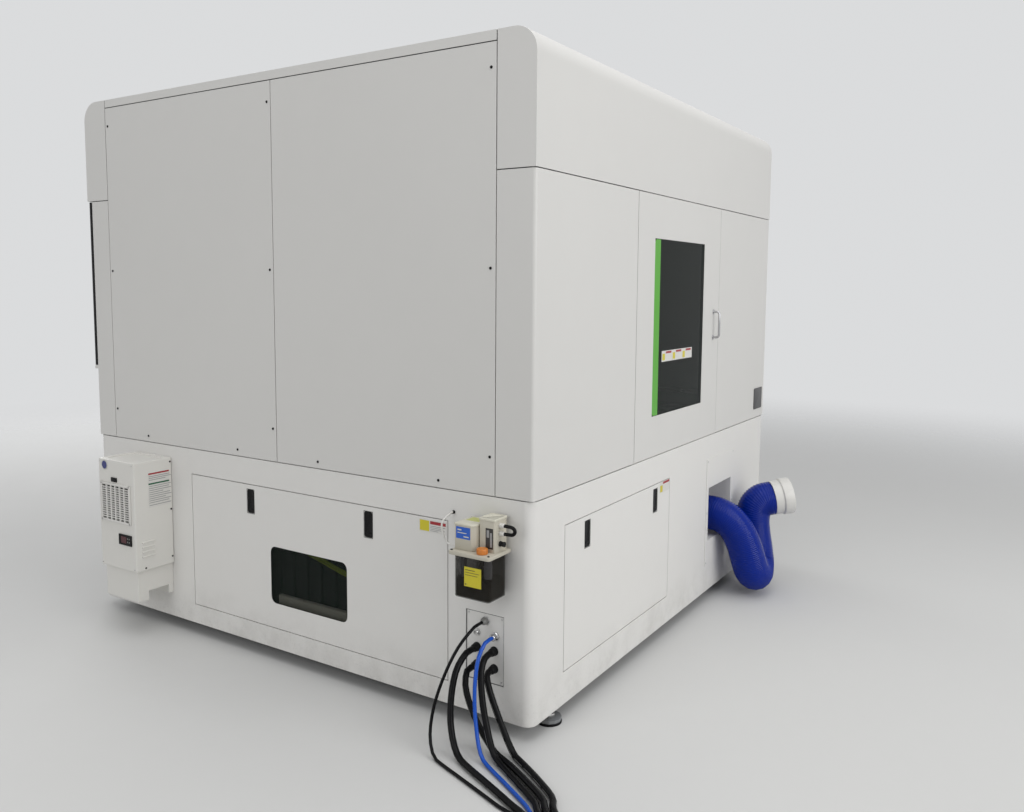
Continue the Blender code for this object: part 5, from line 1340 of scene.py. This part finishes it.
for index in range(1, rows):
    heights = around(grille_low + margin + index * slot_tall, 0.0021)
    across = (grille_left + 0.004, grille_right - 0.004)
    frame_bars.append(block_at("grille_bar", (near, far - 0.0016), across, heights))
grille = joined("grille", *frame_bars)
dress(grille, white_plastic, slot="white_powder_coat", replaces=("ac_grille",))
# The sheet sits in the sunk box behind the grille, as painted shade seen through the slots.
shade_sheet_depths = (case_front - 0.0125, case_front - 0.0105)
dress(block_at("grille_shade_sheet", shade_sheet_depths, (-0.7905, -0.6235), (0.4615, 0.5965)), slot_shade_black)
print("grille done")

# %% Badge, tab and display
deep_blue = label_finish("badge_blue", (0.03, 0.04, 0.18), 0.06, (0.15, 0.25))
outline = in_mm(0, 0, 18.5, 0, 18.5, 1, 17.8, 1.8, 16, 1.8, 15.5, 1, 0, 1)
dress(spun("badge", outline, at(case_skin + 0.0003, -0.7755, 0.6725), side, 40), bright_steel)
disc = disc_piece("badge_disc", (case_skin + 0.0014, -0.7755, 0.6725), side, 0.0152, 0.0006, 40)
dress(disc, deep_blue)
tab = block_at("grille_tab", (near, case_front + 0.0042), (-0.7335, -0.6985), (0.6115, 0.6285))
dress(soften(tab, 0.0012, 2), black_plastic)
bezel = block_at("display_bezel", (near, case_front + 0.0052), (-0.6945, -0.6165), (0.372, 0.413))
sink(bezel, side, (0.0045, 0.0014))
dress(soften(bezel, 0.0008, 2), black_plastic)
red_window = new_finish(
    "red_window", (0.07, 0.006, 0.01), drift=(0.1, 30), skin=(900, 0.02, 0.0002), shine=(0.08, 0.14),
)
window_depths = (case_front + 0.0039, case_front + 0.0043)
dress(block_at("display_window", window_depths, (-0.6805, -0.6475), (0.38, 0.405)), red_window)
keys = [
    disc_piece("display_key", (case_skin + 0.0039, y, z), side, 0.003, 0.0008, 16)
    for z in (0.3995, 0.3865)
    for y in (-0.6395, -0.6285)
]
dress(joined("display_keys", *keys), grey_plastic)
print("cooler front done")

# %% [markdown]
# The field on the cooler's side stands in for its data label: pale, with a red bar, a green bar
# and grey lines, and nothing to read.

# %% The cooler's side
case_side = -0.594


def on_side(name, depths, heights, lift=0.0005):
    """A flat box on the cooler's rear side, lifted off it."""
    return block_at(name, depths, (case_side + lift, case_side + lift + 0.0002), heights)


dress(on_side("cooler_field", (0.0135, 0.107), (0.513, 0.649), 0.0002), white_plastic, slot=None)
dress(on_side("cooler_red_bar", (0.0145, 0.106), (0.6415, 0.6475)), label_red)
dress(on_side("cooler_green_bar", (0.0145, 0.106), (0.6025, 0.6085)), label_green)
line_heights = (
    0.633, 0.626, 0.619, 0.5945, 0.5865, 0.5785, 0.5705, 0.5625, 0.5545, 0.5465, 0.5385, 0.5305, 0.5205,
)
line_reaches = (0.094, 0.1, 0.075, 0.098, 0.09, 0.098, 0.064)
lines = []
for index, height in enumerate(line_heights):
    depths = (0.106 - line_reaches[index % len(line_reaches)], 0.104)
    lines.append(on_side("cooler_line", depths, (height, height + 0.0026)))
dress(joined("cooler_lines", *lines), label_grey)
case_places = [
    (right_face + depth, case_side + 0.0003, z)
    for depth, z in ((0.009, 0.679), (0.009, 0.49), (0.009, 0.3), (0.128, 0.282))
]
screw_row("cooler_screws", case_places, rear, black_plastic, 0.0036)
front_places = [(case_skin + 0.0003, y, z) for y in (-0.807, -0.605) for z in (0.686, 0.282)]
screw_row("cooler_front_screws", front_places, side, bright_steel, 0.003, 0.0016)
print("cooler side done")

# %% [markdown]
# ## Small pieces that are seen from outside
# A row of screws closes the foot of the upper side panels, bare fields of colour lie on the rear
# window's sticker and beside the rear access panel's latch, and a dark cover closes an unused
# opening at the rear. A thin dark frame just inside the connector plate's hole is painted shade
# along the edge of the recess, a black plug sits under the oiler's loop, and the levelling feet get
# their rubber rims and lock nuts.

# %% Lower screws, sticker fields, rear cover, painted shade frame, plug, feet
foot_screws = [(face_x, y * 1.06, 0.766) for y in (-0.693, -0.195, 0.19, 0.68)]
screw_row("panel_foot_screws", foot_screws, side, black_plastic)
screw_row("left_foot_screws", mirrored(foot_screws), left, black_plastic)
reds, yellows = [], []
on_sticker = pane_depth + 0.0005
for x in (-0.112, -0.012, 0.088):
    reds.append(on_rear("sticker_red", on_sticker, 0.0002, (x + 0.004, x + 0.058), (1.122, 1.13)))
    yellows.append(on_rear("sticker_yellow", on_sticker, 0.0002, (x + 0.066, x + 0.09), (1.097, 1.122)))
dress(joined("sticker_red_bars", *reds), label_red, body="rear_entry")
dress(joined("sticker_yellow_fields", *yellows), label_yellow, body="rear_entry")
panel_label = on_rear("panel_label", 0.0002, 0.0003, (0.086, 0.178), (0.588, 0.6305))
dress(panel_label, white_plastic, body="rear_access")
label_bar = on_rear("panel_label_bar", 0.0006, 0.0002, (0.088, 0.149), (0.62, 0.6285))
dress(label_bar, label_red, body="rear_access")
label_mark = on_rear("panel_label_mark", 0.0006, 0.0002, (0.153, 0.1755), (0.591, 0.6165))
dress(label_mark, label_yellow, body="rear_access")
# This dark grey is the rear cover's own colour, and also paints the shade round the connector plate's hole.
cover_and_shade_grey = new_finish(
    "dark_cover_and_shade_plastic", (0.06, 0.06, 0.062), drift=(0.1, 14), skin=(900, 0.2, 0.0003), shine=(0.4, 0.5),
)
cover = round_edges(on_rear("rear_cover", out, 0.003, (-1.068, -0.948), (0.784, 0.886)), 1, 0.006, 4)
dress(soften(cover, 0.0008, 2), cover_and_shade_grey)
# A thin dark frame just inside the plate's hole: painted shade along the edge of the recess.
shade_frame_depths = (plate_front + 0.0002, plate_front + 0.0009)
dress(four_bars("plate_shade_frame", 0, shade_frame_depths, (0.827, 0.968), (0.156, 0.376), 0.0026, True), cover_and_shade_grey)
outline = in_mm(0, 0, 8.2, 0, 8.2, 4, 7, 5, 7, 12, 7.8, 13, 7.8, 16.5, 0, 16.5)
dress(spun("side_plug", outline, at(right_face + 0.05, 0.9853, 0.619), rear, 28), black_plastic)
foot_x, foot_y = right_face - 0.1633, rear_face - 0.0333
outline = in_mm(0, 0, 41.2, 0, 41.2, 6, 40.3, 7.5, 0, 7.5)
rubbers, nuts = [], []
for x in (-foot_x, foot_x):
    for y in (-foot_y, foot_y):
        rubbers.append(spun("foot_rubber", outline, at(x, y, 0.0003), up, 40))
        nuts.append(disc_piece("foot_nut", (x, y, 0.0185), up, 0.0205, 0.011, 6))
dress(joined("foot_rubbers", *rubbers), black_rubber, slot=None)
dress(soften(joined("foot_nuts", *nuts), 0.001, 2), bright_steel)
print("small outer pieces done")

# %% [markdown]
# ## The operator's side
# This side isn't in the picture, so it is kept plain: a long pull on the sliding door, a yellow
# plate and a grey collar round the stop button, a dark trim in the drawer's slot, and black
# borders on the panes, which hide the sheet metal behind their edges.

# %% Door pull, stop collar, drawer trim
def on_front(name, depth, thick, across, heights):
    """A flat box on the operator's side; its depth is measured outwards."""
    return box_piece(name, *facing(1, (-(rear_face + depth + thick), -(rear_face + depth)), across, heights))


door_front, post_heights = -(rear_face + 0.019), (1.245, 1.495)
bar = disc_piece("front_pull", (0, door_front - 0.026, 1.22), up, 0.0085, 0.3, 28)
posts = [disc_piece("pull_post", (0, door_front - 0.0003, z), front, 0.0062, 0.026, 20) for z in post_heights]
feet = [disc_piece("pull_foot", (0, door_front - 0.0002, z), front, 0.0105, 0.003, 24) for z in post_heights]
dress(soften(joined("front_pull", bar, *posts, *feet), 0.001, 2), aluminium, body="front_entry")
stop_x, stop_z = 0.72, 0.89
plate = disc_piece("stop_plate", (stop_x, -face_y + 0.0002, stop_z), front, 0.034, 0.0002, 48)
dress(plate, label_yellow)
collar = disc_piece("stop_collar", (stop_x, -face_y, stop_z), front, 0.0285, 0.0045, 48)
sink(collar, front, (0.0068, 0.0042))
dress(soften(collar, 0.0006, 2, 35), grey_plastic)
trim = round_edges(on_front("slot_trim", 0.0003, 0.0009, (-0.086, 0.086), (0.394, 0.441)), 1, 0.0235, 8)
choose(trim, "faces", lambda spot, normal: abs(normal.y) > 0.95)
bpy.ops.mesh.inset(thickness=0.0064)
bpy.ops.mesh.bridge_edge_loops()
leave_edit()
dress(smooth(trim), black_plastic, body="drawer")
borders = [
    on_front("window_border", 0.0065, 0.0002, across, heights)
    for across, heights in (
        ((-1.103, -0.925), (1.035, 1.7)), ((-0.925, 0.02), (1.672, 1.7)), ((-0.925, 0.02), (1.035, 1.056)),
    )
]
dress(joined("front_window_border", *borders), black_plastic)
door_border = on_front("door_border", 0.0161, 0.0002, (0.925, 1.0535), (1.0845, 1.6535))
dress(door_border, black_plastic, body="front_entry")
print("operator side done")

# %% [markdown]
# ## Carriage and head
# The head gets a brass nozzle, two elbows for its gases and a black band. A chain of links lies
# in a tray on the beam and carries the lines.

# %% Nozzle, elbows, chain
head_y, nozzle_z = 0.1537, 0.9
outline = in_mm(0, 0, 4.4, 0, 5.2, 4, 11.2, 35, 11.2, 39, 0, 39)
dress(spun("nozzle_tip", outline, at(0, head_y, nozzle_z - 0.0004), up, 32), brass, body="head")
bands = [disc_piece("head_band", (0, head_y, z), up, 0.0346, 0.006, 48) for z in (1.075, 1.115)]
dress(soften(joined("head_bands", *bands), 0.001, 2), black_plastic, body="head")
for way, z, look in ((1, 1.2, air_blue), (-1, 1.175, chrome)):
    elbow = ((way * 0.03, z), (way * 0.044, z), (way * 0.052, z + 0.008), (way * 0.052, z + 0.04))
    fixed_line("head_elbow", [(x, head_y, height) for x, height in elbow], 0.005, look, body="head", count=14)
tray = box_piece("chain_tray", (-0.72, 0.25, 1.0803), (0.72, 0.31, 1.0818))
dress(tray, aluminium, body="gantry")
link_starts = [-0.69 + index * 0.03 for index in range(46)]
links = [box_piece("chain_link", (x, 0.256, 1.082), (x + 0.0262, 0.304, 1.106)) for x in link_starts]
dress(soften(joined("drag_chain", *links), 0.0035, 2), black_plastic, body="gantry")
print("head and chain done")

# %% [markdown]
# ## Floor and light
# The machine stands on a plain pale floor under soft, even light, as in a hall with bright lamps
# and big doors. A wide lamp overhead and a strong one behind the machine, on the camera's right,
# give the planes their different greys: the rear face is the lightest, the side face stands in
# half shade. Two more lamps fill the other sides. Far out the floor turns clear and melts into
# the background, so no hard horizon crosses the picture.

# %% Floor
def mix_shaders(tree, share, first, second, last):
    blend = tree.nodes.new("ShaderNodeMixShader")
    for socket, output in zip(blend.inputs, (share, first.outputs[0], second.outputs[0])):
        tree.links.new(output, socket)
    tree.links.new(blend.outputs[0], last.inputs[0])


bpy.ops.object.select_all(action="DESELECT")
bpy.ops.mesh.primitive_plane_add(size=60, location=(0, 0, -0.0005))
floor = take_name("studio_floor")
floor_paint = new_finish(
    "pale_floor", (0.62, 0.62, 0.61), drift=(0.02, 1.2), skin=(30, 0.0, 0.001), shine=(0.78, 0.82),
)
tree = floor_paint.node_tree
away = tree.nodes.new("ShaderNodeVectorMath")
away.operation = "LENGTH"
tree.links.new(tree.nodes.new("ShaderNodeTexCoord").outputs["Object"], away.inputs[0])
fade = ramp(tree, away.outputs["Value"], 2.8, 8.5)
clear = tree.nodes.new("ShaderNodeBsdfTransparent")
mix_shaders(tree, fade, tree.nodes["Principled BSDF"], clear, tree.nodes["Material Output"])
floor.data.materials.append(floor_paint)
print("floor:", floor.name)

# %% Lamps and world
def soft_lamp(name, place, target, size, power):
    data = bpy.data.lights.new(name, "AREA")
    data.shape = "RECTANGLE"
    data.size, data.size_y = size
    data.energy = power
    lamp = linked(name, data)
    lamp.location = place
    lamp.rotation_euler = (Vector(target) - Vector(place)).to_track_quat("-Z", "Y").to_euler()


soft_lamp("overhead", (1.0, 1.5, 6.0), (0.2, 0.2, 0.6), (6, 6), 172)
soft_lamp("behind", (1.0, 7.0, 3.2), (0, 0.8, 1.0), (5, 4), 210)
soft_lamp("right_side", (7.0, -1.0, 3.0), (1, 0, 1.0), (4, 4), 88)
soft_lamp("operator_side", (-2.5, -7.0, 3.4), (0, -1.0, 1.0), (5, 4), 170)
world = bpy.data.worlds.new("studio")
world.use_nodes = True
bpy.context.scene.world = world
tree = world.node_tree
dim, seen = tree.nodes["Background"], tree.nodes.new("ShaderNodeBackground")
for shade, colour_seen, strength in ((dim, (0.97, 0.98, 1.0, 1), 0.34), (seen, (0.86, 0.87, 0.88, 1), 0.82)):
    shade.inputs[0].default_value = colour_seen
    shade.inputs[1].default_value = strength
rays = tree.nodes.new("ShaderNodeLightPath").outputs
straight = math_node(tree, "MAXIMUM", rays["Is Camera Ray"], rays["Is Transmission Ray"])
direct = math_node(tree, "MAXIMUM", straight, rays["Is Glossy Ray"])
mix_shaders(tree, direct, dim, seen, tree.nodes["World Output"])
bpy.context.scene.view_settings.view_transform = "Standard"

# %% [markdown]
# ## Closing
# The last step leaves edit mode.

# %% Leaving edit mode
leave_edit()
